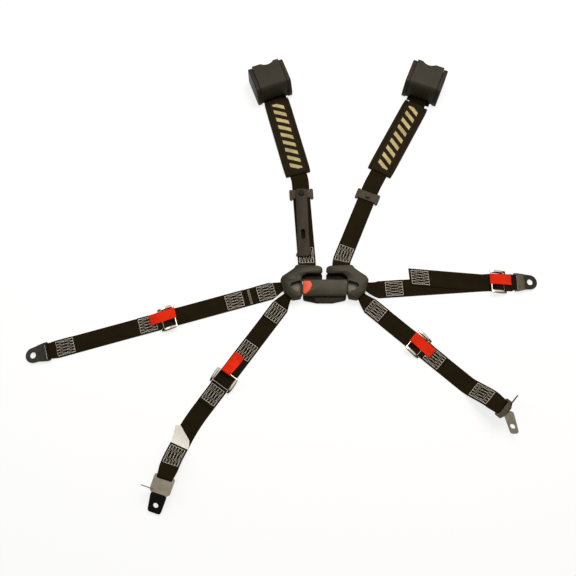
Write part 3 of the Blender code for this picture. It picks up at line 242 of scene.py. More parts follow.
def dress(names, material, edge_mm, segments=2):
    """Give CAD nodes their finish and round their edges to a width in millimetres."""
    for name in names:
        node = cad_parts[name]
        node.data.materials.clear()
        node.data.materials.append(material)
        if "custom_normal" in node.data.attributes:
            node.data.attributes.remove(node.data.attributes["custom_normal"])
        for polygon in node.data.polygons:
            polygon.use_smooth = True
        weld = node.modifiers.new("Weld", "WELD")
        weld.merge_threshold = WELD * MM
        bevel = node.modifiers.new("Edge", "BEVEL")
        bevel.width = edge_mm * MM
        bevel.segments = segments
        bevel.limit_method = "ANGLE"
        bevel.angle_limit = radians(SHARP)
        bevel.harden_normals = True


grey_nylon = moulded("moulded grey nylon", 0x2C271D, 0x554E40, 0.44, gloss=0.1)
dark_nylon = moulded("moulded dark nylon", 0x1E1A12, 0x433C2F, gloss=0.07)
cap_nylon = moulded("moulded cap nylon", 0x28231A, 0x5A5343, 0.46, gloss=0.1)
zinc_steel = bare_steel("zinc-plated steel", 0x9A9892, 0.34)
dress(pair("retractor_cover"), grey_nylon, 1.2, 3)
dress(pair("retractor_lock_side_cap") + pair("retractor_spring_side_cap"), cap_nylon, 0.8)
dress(pair("retractor_frame"), bare_steel("phosphated steel", 0x211E18, 0.55), 0.3, 1)
dress(pair("lock_pawl"), zinc_steel, 0.25, 1)
dress(pair("retractor_spool"), dark_nylon, 0.3, 1)


# Shoulder straps: two-inch polyester webbing, folded round a yoke bar and sewn, that
# runs under the chest slider and through the pad into the retractor's mouth.
WEB_WIDTH = 50
WEB_THICK = 1.5
LAYER = 1.8  # from the middle of one layer to the next
GROUND = WEB_THICK / 2  # the middle of a layer that lies on the table
SELVAGE = ((-1, 0), (-0.985, 0.75), (-0.955, 1), (-0.91, 0.84), (-0.5, 0.9), (0, 0.93),
           (0.5, 0.9), (0.91, 0.84), (0.955, 1), (0.985, 0.75))  # shares of half the size
BAR = 3.5  # half a yoke bar's width
BAR_EASE = 2
PLATE_LEVEL = 12.5
PLATE_TURN = 2.55
SETTLE = 34  # the run in which a fold comes down to its level
TURN_STEPS = 10
SHOULDER_LIFT = 4.2
SHOULDER_FOLD = 80
MOUTH_AT = {"left": 558, "right": 600}
INTO_MOUTH = ((-2, SHOULDER_LIFT), (14, 7.16), (24, 8.95), (43, 8.95))  # distance, height


class Route:
    """The plan line of a strap in millimetres: stretches of (length, turn in degrees)."""

    def __init__(self, start, heading, stretches):
        self.start = Vector(start)
        self.heading = heading
        self.stretches = stretches

    def at(self, s):
        """The point and the heading in degrees at a distance along the route."""
        point = self.start.copy()
        heading = self.heading
        left = s
        for length, turn in self.stretches:
            step = min(left, length)
            swept = turn * step / length if step > 0 else 0
            middle = radians(heading + swept / 2)
            half = radians(abs(swept)) / 2
            chord = step * (sin(half) / half if half else 1)
            point = point + chord * Vector((cos(middle), sin(middle)))
            heading += swept
            left -= step
            if left <= 0:
                return point, heading
        return point + left * Vector((cos(radians(heading)), sin(radians(heading)))), heading

    def spot(self, s, across, z):
        """A point in metres at a distance along, across to the right and above the floor."""
        point, heading = self.at(s)
        right = Vector((sin(radians(heading)), -cos(radians(heading))))
        return Vector((*(point + right * across), z)) * MM

    def place(self, s):
        """The matrix that lays a piece on the route, with the piece's y along it."""
        point, heading = self.at(s)
        turn = Matrix.Rotation(radians(heading - 90), 4, "Z")
        return Matrix.Translation((point.x * MM, point.y * MM, 0)) @ turn


def woven(name, colour, lift, rib_mm, sheen, depth=0.28):
    """Woven polyester: herringbone ribs, drawn about twice as coarse so that they show,
    slightly furry and worn unevenly."""
    material, tree = start_finish(name, {"Sheen Weight": sheen, "Sheen Roughness": 0.45,
                                         "Specular IOR Level": 0.05})
    laid = add(tree, "SeparateXYZ", {}, {0: add(tree, "UVMap", {"uv_map": "weave"})}).outputs
    place = add(tree, "TexCoord").outputs["Object"]
    zigzag = add(tree, "Math", {"operation": "PINGPONG", 1: 3.2 * MM}, {0: laid["X"]})
    slant = add(tree, "Math", {"operation": "ADD"}, {0: laid["Y"], 1: zigzag})
    turns = add(tree, "Math", {"operation": "MULTIPLY", 1: 2 * pi * per(rib_mm)}, {0: slant})
    rib = add(tree, "Math", {"operation": "SINE"}, {0: turns})
    cloud = add(tree, "TexNoise", {"Scale": per(45), "Detail": 4}, {"Vector": place})
    fuzz = add(tree, "TexNoise", {"Scale": per(0.9), "Detail": 2}, {"Vector": place})
    tone = add(tree, "MapRange", {"From Min": -1, "To Min": 1 - depth, "To Max": 1 + depth},
               {"Value": rib})
    worn = add(tree, "MapRange", {"From Min": 0.3, "From Max": 0.7, "To Min": 1 - 0.7 * depth,
                                  "To Max": 1 + 0.9 * depth}, {"Value": cloud})
    level = add(tree, "Math", {"operation": "MULTIPLY"}, {0: tone, 1: worn})
    base = add(tree, "VectorMath", {"operation": "SCALE", 0: linear(colour)[:3]},
               {"Scale": level})
    hairs = add(tree, "MapRange", {"From Min": 0.55, "From Max": 0.8, "To Max": 0.35},
                {"Value": fuzz})
    mixed = add(tree, "Mix", {"data_type": "RGBA", 7: linear(lift)}, {0: hairs, 6: base})
    dull = add(tree, "MapRange", {"To Min": 0.66, "To Max": 0.86}, {"Value": fuzz})
    bump = add(tree, "Bump", {"Strength": 0.5, "Distance": 0.3 * MM}, {"Height": rib})
    end_finish(tree, mixed.outputs[2], dull, bump)
    return material


def piece_of(name, shape, finish):
    """Turn a finished bmesh into a piece of the scene."""
    bmesh.ops.recalc_face_normals(shape, faces=shape.faces)
    mesh = bpy.data.meshes.new(name)
    shape.to_mesh(mesh)
    shape.free()
    mesh.materials.append(finish)
    piece = bpy.data.objects.new(name, mesh)
    scene.collection.objects.link(piece)
    return piece


def strip(name, route, stations, finish, thick=WEB_THICK, step=4):
    """Tape with raised selvages along a route, through stations of (distance, height),
    which have the webbing's width, or (distance, height, width, shift)."""
    stations = [(*station, WEB_WIDTH, 0) if len(station) == 2 else station
                for station in stations]
    line = [stations[0]]
    for last, after in zip(stations, stations[1:]):
        parts = max(1, round(hypot(after[0] - last[0], after[1] - last[1]) / step))
        for i in range(1, parts + 1):
            line.append(tuple(a + (b - a) * i / parts for a, b in zip(last, after)))
    shape = bmesh.new()
    weave = shape.loops.layers.uv.new("weave")
    middle = [route.spot(s, shift, z) for s, z, width, shift in line]
    section = [*SELVAGE, *[(-a, -b) for a, b in SELVAGE]]
    rings = []
    run = 0.0
    for i, (s, z, width, shift) in enumerate(line):
        along = middle[min(i + 1, len(line) - 1)] - middle[max(i - 1, 0)]
        heading = radians(route.at(s)[1])
        right = Vector((sin(heading), -cos(heading), 0))
        up = right.cross(along).normalized()
        if i:
            run += (middle[i] - middle[i - 1]).length
        ring = [shape.verts.new(middle[i] + (right * a * width + up * b * thick) * MM / 2)
                for a, b in section]
        rings.append((ring, run))
    count = len(section)
    for (low, start), (high, end) in zip(rings, rings[1:]):
        for k in range(count):
            after = (k + 1) % count
            face = shape.faces.new((low[after], low[k], high[k], high[after]))
            face.smooth = True
            here, there = section[k][0], section[after][0]
            corners = ((there, start), (here, start), (here, end), (there, end))
            for loop, (a, v) in zip(face.loops, corners):
                loop[weave].uv = (a * WEB_WIDTH / 2 * MM, v)
    shape.faces.new(rings[0][0])
    shape.faces.new(rings[-1][0][::-1])
    return piece_of(name, shape, finish)


def arc(centre, radius, start, end, steps):
    """Points along an arc, angles in degrees."""
    angles = [radians(start + (end - start) * i / steps) for i in range(steps + 1)]
    return [(centre[0] + radius * cos(a), centre[1] + radius * sin(a)) for a in angles]


def yoke_fold(width, level, fold_end):
    """Stations from a sewn fold's end in over a yoke bar, round it and out below."""
    bend = arc((-BAR, PLATE_LEVEL), PLATE_TURN, 90, 270, TURN_STEPS)
    bend = [(BAR + BAR_EASE, PLATE_LEVEL + PLATE_TURN), *bend,
            (BAR + BAR_EASE, PLATE_LEVEL - PLATE_TURN)]
    return [(fold_end, level + LAYER), (BAR + SETTLE, level + LAYER),
            *[(s, z, width, 0) for s, z in bend], (BAR + SETTLE, level)]


SHOULDERS = {
    "left": Route((-48, 60), 90, [(8, 0), (30, 4), (228, 0), (20, 11), (244, 0), (20, 5)]),
    "right": Route((48, 60), 90, [(8, 0), (30, -22), (224, 0), (30, -6), (286, 0), (20, 8)]),
}
black_webbing = woven("black polyester webbing", 0x1B1406, 0x2C2310, 2.4, 0.01)
for side in SIDES:
    stations = yoke_fold(WEB_WIDTH, SHOULDER_LIFT, SHOULDER_FOLD)
    stations += [(MOUTH_AT[side] + s, z) for s, z in INTO_MOUTH]
    strap = strip(side + "_shoulder_webbing", SHOULDERS[side], stations, black_webbing)
    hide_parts(side + "_shoulder_strap")
    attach(strap, side + "_half")
dress(pair("webbing_roll"), black_webbing, 0.3, 1)


# Mouth shade: a thin dark sheet at each retractor's mouth, which lies flat under
# the webbing and closes the bottom of the mouth with painted shade.
MOUTH_SHADE_WIDTH = 70
MOUTH_SHADE_LENGTH = 22
MOUTH_SHADE_THICK = 0.25
MOUTH_SHADE_LEVEL = 0.3
MOUTH_SHADE_REACH = 6
# painted shade: a thin dark sheet on the table inside each retractor's mouth
for side in SIDES:
    shape = bmesh.new()
    bmesh.ops.create_grid(shape, x_segments=20, y_segments=2, size=0.5)
    for vert in shape.verts:
        vert.co = (vert.co.x * MOUTH_SHADE_WIDTH * MM, (MOUTH_SHADE_REACH + vert.co.y * MOUTH_SHADE_LENGTH) * MM,
                   MOUTH_SHADE_LEVEL * MM)
    bmesh.ops.solidify(shape, geom=shape.faces[:], thickness=MOUTH_SHADE_THICK * MM)
    mouth_shade = piece_of(side + "_mouth_shade_sheet", shape, dark_nylon)
    mouth_shade.data.transform(SHOULDERS[side].place(MOUTH_AT[side] - MOUTH_SHADE_REACH))
    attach(mouth_shade, side + "_half")


# Box stitching: each folded end is sewn through by a rectangle of heavy polyester
# thread filled with two crossing zigzags, pale against the webbing.
STITCH = 6
STITCH_LAP = 1.6
STITCH_TAPER = 0.18
THREAD = 1.25
THREAD_RISE = 0.55
ZIGZAG_THREAD = 0.72 * THREAD
BOX_LENGTH = 47
BOX_WIDTH = 40
SEWN = WEB_THICK / 2 - 0.1  # stitches sink a little into the layer they lie on


def thread(name, colour):
    """Bonded polyester thread, plied: a soft twist along it that catches light."""
    material, tree = start_finish(name, {"Sheen Weight": 0.2})
    place = add(tree, "TexCoord").outputs["Object"]
    twist = add(tree, "TexNoise", {"Scale": per(0.8), "Detail": 2}, {"Vector": place})
    tone = add(tree, "MapRange", {"To Min": 0.7, "To Max": 1.2}, {"Value": twist})
    base = add(tree, "VectorMath", {"operation": "SCALE", 0: linear(colour)[:3]},
               {"Scale": tone})
    dull = add(tree, "MapRange", {"To Min": 0.5, "To Max": 0.75}, {"Value": twist})
    bump = add(tree, "Bump", {"Strength": 0.3, "Distance": 0.2 * MM}, {"Height": twist})
    end_finish(tree, base, dull, bump)
    return material


pale_thread = thread("pale polyester thread", 0xE6DFCF)


def seam(shape, corners, surface, width):
    """Single stitches along a line of plan corners, on a surface given as a function."""
    lap = STITCH_LAP / STITCH / 2
    for (a0, s0), (a1, s1) in zip(corners, corners[1:]):
        count = max(1, round(hypot(a1 - a0, s1 - s0) / STITCH))
        for i in range(count):
            shares = ((i - lap) / count, (i + 1 + lap) / count)
            first, last = [surface(s0 + (s1 - s0) * t, a0 + (a1 - a0) * t) for t in shares]
            along = (last - first).normalized()
            right = along.cross(Vector((0, 0, 1))).normalized() * width / 2 * MM
            up = Vector((0, 0, THREAD_RISE * width * MM))
            near, far = [first.lerp(last, t) for t in (STITCH_TAPER, 1 - STITCH_TAPER)]
            base = [shape.verts.new(p) for p in (first, near + right, far + right, last,
                                                 far - right, near - right)]
            top = [shape.verts.new(p + up) for p in (near, far)]
            shape.faces.new((base[0], base[1], top[0]))
            shape.faces.new((base[1], base[2], top[1], top[0]))
            shape.faces.new((base[2], base[3], top[1]))
            shape.faces.new((base[3], base[4], top[1]))
            shape.faces.new((base[4], base[5], top[0], top[1]))
            shape.faces.new((base[5], base[0], top[0]))
            shape.faces.new(base[::-1])


def box_stitch(name, route, middle, height, body, length=BOX_LENGTH, width=BOX_WIDTH, rows=5,
               shift=lambda s: 0, finish=pale_thread):
    """A sewn box, outline and two zigzags, about a distance along a strap, on a top face
    given by height(s)."""
    shape = bmesh.new()
    low, high = middle - length / 2, middle + length / 2
    half = width / 2

    def surface(s, across):
        return route.spot(s, across + shift(s), height(s))

    outline = [(-half, low), (half, low), (half, high), (-half, high), (-half, low)]
    seam(shape, outline, surface, THREAD)
    for ends in ((low, high), (high, low)):
        zigzag = [(-half + width * i / rows, ends[i % 2]) for i in range(rows + 1)]
        seam(shape, zigzag, surface, ZIGZAG_THREAD)
    for face in shape.faces:
        face.smooth = True
    piece = piece_of(name, shape, finish)
    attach(piece, body)
    return piece


def fold_top(level):
    """Height of the upper face of a fold over a yoke bar, as a function of distance."""
    bar_top, strap_top = PLATE_LEVEL + PLATE_TURN, level + LAYER

    def height(s):
        share = min(max((s - BAR - BAR_EASE) / (SETTLE - BAR_EASE), 0), 1)
        return bar_top + (strap_top - bar_top) * share + SEWN

    return height


for side, middle in (("left", 42), ("right", 48)):
    piece = box_stitch(side + "_shoulder_stitching", SHOULDERS[side], middle,
                       fold_top(SHOULDER_LIFT), side + "_half")


# Shoulder pads: flat sleeves of woven cloth over thin foam, sewn into a middle
# panel between two rolled edges, with a plain slanted-bar print in tan ink.
PAD_LENGTH = 256
PAD_HALF = 38
PAD_AT = {"left": 424, "right": 452}
PAD_COLUMNS = 22
PAD_ROWS = 56
PAD_FLOOR = 1.2
PAD_UNDER = 0.4
PANEL_SHARE = 0.66
PANEL_HEIGHT = 8.6
PANEL_CROWN = 2.0
GROOVE_HEIGHT = 5.8
ROLL_HEIGHT = 8.8
ROLL_AT = 0.86
ROLL_SPREAD = 0.15
ROLL_FROM = 0.9
END_SHARE = 0.93
END_DROP = 0.3
END_NARROW = 0.04
UNDER_ROUND = 0.8
PUCKER = 0.25
PUCKER_EVERY = 17
PUCKER_FROM = 0.6
PUCKER_INSIDE = 0.2
PRINT_HALF = 17
PRINT_REACH = 112
PRINT_PITCH = 13
PRINT_BAR = 6.2
TUNNEL = ((28, 3.0), (28, 5.4), (-28, 5.4), (-28, 3.0))  # the strap's way through


def pad_cloth(name, colour, ink_colour):
    """Printed pack cloth: a plain weave, drawn coarse to show, worn unevenly, with matt
    ink in slanted bars on the middle panel only."""
    material, tree = start_finish(name, {"Sheen Weight": 0.04, "Specular IOR Level": 0.05})
    laid = add(tree, "SeparateXYZ", {}, {0: add(tree, "UVMap", {"uv_map": "weave"})}).outputs
    across, along = laid["X"], laid["Y"]
    yarns = []
    for way in (across, along):
        turns = add(tree, "Math", {"operation": "MULTIPLY", 1: 2 * pi * per(1.6)}, {0: way})
        yarns.append(add(tree, "Math", {"operation": "SINE"}, {0: turns}))
    weave = add(tree, "Math", {"operation": "MULTIPLY"}, {0: yarns[0], 1: yarns[1]})
    cloud = add(tree, "TexNoise", {"Scale": per(26), "Detail": 4},
                {"Vector": add(tree, "TexCoord").outputs["Object"]})
    worn = add(tree, "MapRange",
               {"From Min": 0.3, "From Max": 0.7, "To Min": 0.78, "To Max": 1.25},
               {"Value": cloud})
    tone = add(tree, "MapRange", {"From Min": -1, "To Min": 0.8, "To Max": 1.2},
               {"Value": weave})
    level = add(tree, "Math", {"operation": "MULTIPLY"}, {0: worn, 1: tone})
    base = add(tree, "VectorMath", {"operation": "SCALE", 0: linear(colour)[:3]},
               {"Scale": level})
    ink = add(tree, "VectorMath", {"operation": "SCALE", 0: linear(ink_colour)[:3]},
              {"Scale": level})
    slant = add(tree, "Math", {"operation": "MULTIPLY_ADD", 1: 0.55}, {0: across, 2: along})
    cycle = add(tree, "Math", {"operation": "PINGPONG", 1: PRINT_PITCH * MM}, {0: slant})
    bars = add(tree, "Math", {"operation": "LESS_THAN", 1: PRINT_BAR * MM}, {0: cycle})
    inside = add(tree, "Math", {"operation": "COMPARE", 1: 0.0, 2: PRINT_HALF * MM},
                 {0: across})
    ends = add(tree, "Math", {"operation": "COMPARE", 1: 0.0, 2: PRINT_REACH * MM},
               {0: along})
    printed = add(tree, "Math", {"operation": "MULTIPLY"}, {0: bars, 1: inside})
    printed = add(tree, "Math", {"operation": "MULTIPLY"}, {0: printed, 1: ends})
    mixed = add(tree, "Mix", {"data_type": "RGBA"}, {0: printed, 6: base, 7: ink})
    dull = add(tree, "MapRange", {"To Min": 0.7, "To Max": 0.9}, {"Value": cloud})
    bump = add(tree, "Bump", {"Strength": 0.4, "Distance": 0.25 * MM}, {"Height": weave})
    end_finish(tree, mixed.outputs[2], dull, bump)
    return material


def pad_top(x, y):
    """Height of a pad's upper face: a low crown between two rolled edges, with puckers
    along its seams, drawn in at both ends."""
    across = abs(x) / PAD_HALF
    panel = PANEL_HEIGHT + PANEL_CROWN * max(0, 1 - (across / PANEL_SHARE) ** 2)
    roll = ROLL_HEIGHT * max(0, 1 - ((across - ROLL_AT) / ROLL_SPREAD) ** 2) ** 0.5
    height = max(panel if across < PANEL_SHARE else GROOVE_HEIGHT, roll,
                 GROOVE_HEIGHT if across < ROLL_FROM else 0)
    close = max(0, (abs(y) / (PAD_LENGTH / 2) - END_SHARE) / (1 - END_SHARE))
    pucker = PUCKER * sin(y * 2 * pi / PUCKER_EVERY + (2 if x > 0 else 0))
    pucker *= 1 if across > PUCKER_FROM else PUCKER_INSIDE
    return PAD_FLOOR + (height + pucker) * (1 - END_DROP * close * close)


printed_cloth = pad_cloth("printed pack cloth", 0x231C0E, 0xB7A87A)
columns = [PAD_HALF * (i / PAD_COLUMNS) for i in range(-PAD_COLUMNS, PAD_COLUMNS + 1)]
rows = [PAD_LENGTH * (i / PAD_ROWS - 0.5) for i in range(PAD_ROWS + 1)]
for side in SIDES:
    place = SHOULDERS[side].place(PAD_AT[side])
    shape = bmesh.new()
    weave = shape.loops.layers.uv.new("weave")
    rings = []
    for y in rows:
        narrow = 1 - END_NARROW * (abs(y) / (PAD_LENGTH / 2)) ** 10
        outer = [(x * narrow, pad_top(x, y)) for x in columns]
        outer += [(x * narrow, PAD_UNDER + UNDER_ROUND * (abs(x) / PAD_HALF) ** 6)
                  for x in reversed(columns)]
        rings.append([[shape.verts.new(place @ Vector((x * MM, y * MM, z * MM)))
                       for x, z in loop] for loop in (outer, TUNNEL)])
    for low, high in zip(rings, rings[1:]):
        for first, second, smooth in zip(low, high, (True, False)):
            for k in range(len(first)):
                after = (k + 1) % len(first)
                face = shape.faces.new((first[k], first[after], second[after], second[k]))
                face.smooth = smooth
    for end in (rings[0], rings[-1]):
        edges = [shape.edges.get((loop[k], loop[(k + 1) % len(loop)]))
                 for loop in end for k in range(len(loop))]
        bmesh.ops.bridge_loops(shape, edges=edges)
    back = place.inverted()
    for face in shape.faces:
        for loop in face.loops:
            loop[weave].uv = (back @ loop.vert.co).xy
    pad = piece_of(side + "_pad_sleeve", shape, printed_cloth)
    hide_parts(side + "_shoulder_pad")
    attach(pad, side + "_shoulder_pad")


# Chest clip: two moulded sliders on the shoulder straps; the left carries the long
# swinging link on a riveted pin, the right one the stud that its slot drops over.
slider_nylon = moulded("moulded slider nylon", 0x413A2D, 0x5A5344, 0.46, gloss=0.1)
dress(["chest_link"], grey_nylon, 0.5)
dress(pair("chest_slider"), slider_nylon, 0.5)
dress(["chest_link_pin"], dark_nylon, 0.4)


# Yokes: a coated steel plate between a moulded front cover with a window and a plain
# rear cover. A dark strip in the gap under each upper arm is painted shade.
ARM_SHADE_LENGTH = 45
ARM_SHADE_WIDTH = 2.8
ARM_SHADE_THICK = 4.1
ARM_SHADE_TAPER = 1.2
ARM_SHADE_END = 0.6 * ARM_SHADE_WIDTH
ARM_SHADE_LEVEL = 12.95
ARM_SHADE_MIDDLE = (30, 43.9)
# The yoke cover's pale edge colour on its wide rounded edges is partly painted highlight.
yoke_nylon = moulded("moulded yoke nylon", 0x2B2516, 0x7C7460, 0.28, gloss=0.12, edge_mm=1.8)
coated_steel = moulded("powder-coated steel", 0x6E6A5C, 0x8E8A7C, 0.42, grain_mm=0.8)
dress(pair("yoke_cover"), yoke_nylon, 0.8, 3)
# The rear covers' dark nylon, darker than the front covers, is partly painted shade for the
# gap under the arms.
dress(pair("yoke_rear_cover"), dark_nylon, 0.6)
dress(pair("yoke_plate"), coated_steel, 0.3, 1)
# painted shade: a dark strip laid in the gap under each upper arm
for side, sign in (("left", -1), ("right", 1)):
    line = Route((sign * ARM_SHADE_MIDDLE[0] - ARM_SHADE_LENGTH / 2, ARM_SHADE_MIDDLE[1]), 0, [])
    widths = ((0, ARM_SHADE_END), (ARM_SHADE_TAPER, ARM_SHADE_WIDTH), (ARM_SHADE_LENGTH - ARM_SHADE_TAPER, ARM_SHADE_WIDTH),
              (ARM_SHADE_LENGTH, ARM_SHADE_END))
    stations = [(s, ARM_SHADE_LEVEL, width, 0) for s, width in widths]
    arm_shade = strip(side + "_arm_gap_shade", line, stations, dark_nylon, ARM_SHADE_THICK)
    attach(arm_shade, side + "_half")


# Buckle: a dark moulded base with a sloping front lip and a raised panel on it, under a
# grained cover. The red button tips the steel latch against a small wire spring.
PANEL_ROWS = ((-24.5, -26, 55, 14.0), (-28.4, -26, 52, 13.14), (-33, -26, 40, 9.3),
              (-37, -16, 20, 5.9))  # y, left, right, height of the lip's slope
PANEL_RISE = 1.5
PANEL_SINK = 0.8
PANEL_EDGE = 0.7
buckle_nylon = moulded("moulded buckle nylon", 0x383224, 0x6E6654, 0.32, gloss=0.13)
red_abs = moulded("moulded red ABS", 0xE4502C, 0xF08E6C, 0.36, grain_mm=1.4, gloss=0.25)
dress(["buckle_base"], dark_nylon, 0.7)
dress(["buckle_cover"], buckle_nylon, 0.7)
dress(["release_button"], red_abs, 0.8, 3)
dress(["latch_lever", "latch_pin"], zinc_steel, 0.15, 1)
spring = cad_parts["latch_spring"]
coil = bpy.data.objects.new("latch_coil", spring.data.copy())
coil.matrix_world = spring.matrix_world
coil.data.materials.clear()
coil.data.materials.append(zinc_steel)
scene.collection.objects.link(coil)
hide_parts("latch_spring")
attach(coil, "right_half")
corners = [coil.matrix_world @ Vector(corner) for corner in coil.bound_box]
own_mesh(coil)

shape = bmesh.new()
upper, lower = [[[shape.verts.new((x * MM, y * MM, (z + lift) * MM)) for x in (left, right)]
                 for y, left, right, z in PANEL_ROWS] for lift in (PANEL_RISE, -PANEL_SINK)]
for i in range(len(PANEL_ROWS) - 1):
    shape.faces.new((upper[i][0], upper[i + 1][0], upper[i + 1][1], upper[i][1]))
    shape.faces.new((lower[i][0], lower[i][1], lower[i + 1][1], lower[i + 1][0]))
    shape.faces.new((upper[i][0], lower[i][0], lower[i + 1][0], upper[i + 1][0]))
    shape.faces.new((upper[i][1], upper[i + 1][1], lower[i + 1][1], lower[i][1]))
shape.faces.new((upper[0][0], upper[0][1], lower[0][1], lower[0][0]))
shape.faces.new((upper[-1][0], lower[-1][0], lower[-1][1], upper[-1][1]))
panel = piece_of("buckle_lip_panel", shape, buckle_nylon)
bevel = panel.modifiers.new("Edge", "BEVEL")
bevel.width = PANEL_EDGE * MM
bevel.segments = 3
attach(panel, "right_half")


# Lap and crotch straps: each webbing leaves its yoke bar, turns round the lock bar of
# an adjuster and comes back as a sewn tail. From the adjuster's rear bar a second strap
# runs on to the anchor, sewn into a loop at both ends, with a sleeve in the far one.
LIMBS = {  # places are distances along the route from its yoke bar, swings are degrees
    "left_lap": {
        "route": Route((-114, 9), 198, [(8, 0), (30, -2), (700, 0)]),
        "yoke_fold": 76, "tail": 112, "adjuster": 342, "rear_fold": 62,
        "bar": 662.6, "anchor_fold": 62, "rise": 0, "under": False, "swing": 0,
        "boxes": {"yoke": [50], "tail": [141], "anchor": [387, 617]},
    },
    "right_lap": {
        "route": Route((114, 9), -18, [(8, 0), (35, 22), (285, 0), (20, -4), (160, 0)]),
        "yoke_fold": 108, "tail": 128, "adjuster": 384, "rear_fold": 9,
        "bar": 418.6, "anchor_fold": 9, "rise": 0, "under": False, "swing": -9,
        "boxes": {"yoke": [82], "tail": [158], "anchor": []},
    },
    "left_crotch": {
        "route": Route((-100, -19), 229, [(8, 0), (25, 5), (360, 0), (160, 18), (80, 0)]),
        "yoke_fold": 86, "tail": 165, "adjuster": 303, "rear_fold": 62,
        "bar": 586.6, "anchor_fold": 84, "rise": 24.88, "under": False, "swing": 0,
        "boxes": {"yoke": [58], "tail": [190], "anchor": [340, 528]},
    },
    "right_crotch": {
        "route": Route((100, -19), -49, [(8, 0), (25, 8), (540, 0)]),
        "yoke_fold": 86, "tail": 92, "adjuster": 217, "rear_fold": 62,
        "bar": 472.6, "anchor_fold": 84, "rise": 39.15, "under": True, "swing": 0,
        "boxes": {"yoke": [58], "tail": [], "anchor": [262, 415]},
    },
}
GATHER = 26  # width in a yoke's slot
DRAWN = 42  # width in an anchor's slot
UPPER = GROUND + LAYER
CROSSBAR_AT = 32
CROSSBAR_LEVEL = 15.95
LOCK_TURN = 3.55
LOCK_LEVEL = 4.3
TAIL_LEVEL = 5
REAR_BAR_AT = 8.6
REAR_LEVEL = 3.8
REAR_TURN = 3.05
REAR_TOP = REAR_LEVEL + REAR_TURN - UPPER
ANCHOR_TURN = 4.404
ANCHOR_GAP = 3
RAMP = 2.4 * SETTLE
EASE = 0.6
SLEEVE_TURN = 6.1
SLEEVE_ARC = (-40, 100)
SLEEVE_THICK = 1.7
RUN_STEPS = 24
BACK_STEPS = 8
TACK_AT = 97


def anchor_ground(bar, rise, settle):
    """Height of an anchor strap's lower layer, as a function of distance: flat, then
    rising to the anchor's bar."""
    def height(s):
        share = min(max((s - bar + ANCHOR_GAP + settle + RAMP) / RAMP, 0), 1)
        return GROUND + rise * share * share * (3 - 2 * share)

    return height


for limb, size in LIMBS.items():
    body = limb.split("_")[0] + "_half"
    route, adjuster, bar = size["route"], size["adjuster"], size["bar"]
    ease = adjuster - CROSSBAR_AT - SETTLE * EASE
    slope = tan(radians(size["swing"]))
    tail_shift = (ease - size["tail"]) * slope
    level = UPPER if size["under"] else GROUND
    over = [(ease, UPPER), (adjuster - CROSSBAR_AT, TAIL_LEVEL),
            (adjuster - CROSSBAR_AT / 2, (TAIL_LEVEL + GROUND + 2 * LOCK_TURN) / 2)]
    turn = arc((adjuster, LOCK_LEVEL), LOCK_TURN, -90, 90, TURN_STEPS)
    stations = yoke_fold(GATHER, level, size["yoke_fold"])
    if size["under"]:
        stations += [*over, *turn[::-1], (ease, GROUND),
                     (size["tail"], GROUND, WEB_WIDTH, tail_shift)]
    else:
        stations += [(ease, GROUND), *turn, *over[::-1],
                     (size["tail"], UPPER, WEB_WIDTH, tail_shift)]
    strap = strip(limb + "_webbing", route, stations, black_webbing)
    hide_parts(limb + "_strap")
    route.spot(adjuster - 90, 0, 0)
    route.spot(adjuster - 6, 0, 0)
    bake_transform(strap)

    rear = adjuster + REAR_BAR_AT
    settle = EASE * min(SETTLE, size["rear_fold"], size["anchor_fold"])
    ground = anchor_ground(bar, size["rise"], settle)
    centre = (bar, GROUND + ANCHOR_TURN + size["rise"])
    rear_lean = degrees(atan2(REAR_TOP, settle))
    anchor_lean = degrees(atan2(2 * ANCHOR_TURN - LAYER, ANCHOR_GAP + settle))
    reach = bar - ANCHOR_GAP - settle
    run = [rear + settle + (reach - settle - rear) * i / RUN_STEPS
           for i in range(RUN_STEPS + 1)]
    back = [reach - (size["anchor_fold"] - settle) * i / BACK_STEPS
            for i in range(BACK_STEPS + 1)]
    loop = arc(centre, ANCHOR_TURN, -90, 90 + anchor_lean, TURN_STEPS)
    stations = [(rear + size["rear_fold"], UPPER), (rear + settle, UPPER)]
    stations += arc((rear, REAR_LEVEL), REAR_TURN, 90 - rear_lean, 270, TURN_STEPS)
    stations += [(s, ground(s)) for s in run]
    stations += [(s, z, DRAWN, 0) for s, z in loop]
    stations += [(s, ground(s) + LAYER) for s in back]
    strap = strip(limb + "_anchor_webbing", route, stations, black_webbing)
    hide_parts(limb + "_anchor_strap")
    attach(strap, body)
    wrap = [(s, z, DRAWN, 0) for s, z in arc(centre, SLEEVE_TURN, *SLEEVE_ARC, TURN_STEPS)]
    sleeve = strip(limb + "_loop_sleeve", route, wrap, black_webbing, SLEEVE_THICK)
    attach(sleeve, body)

    tops = {
        "yoke": fold_top(level),
        "tail": lambda s: UPPER + SEWN,
        "anchor": lambda s: ground(s) + LAYER + SEWN
        + REAR_TOP * max(0, 1 - (s - rear) / settle),
    }
    for where, middles in size["boxes"].items():
        swung = slope if where == "tail" else 0
        for i, middle in enumerate(middles):
            piece = box_stitch(f"{limb}_{where}_stitching_{i}", route, middle, tops[where],
                               body, shift=lambda s: (ease - s) * swung)

tack = box_stitch("left_lap_bar_tack", LIMBS["left_lap"]["route"], TACK_AT,
                  lambda s: GROUND + SEWN, "left_half", length=5, width=42, rows=14,
                  finish=thread("grey polyester thread", 0x8C8678))


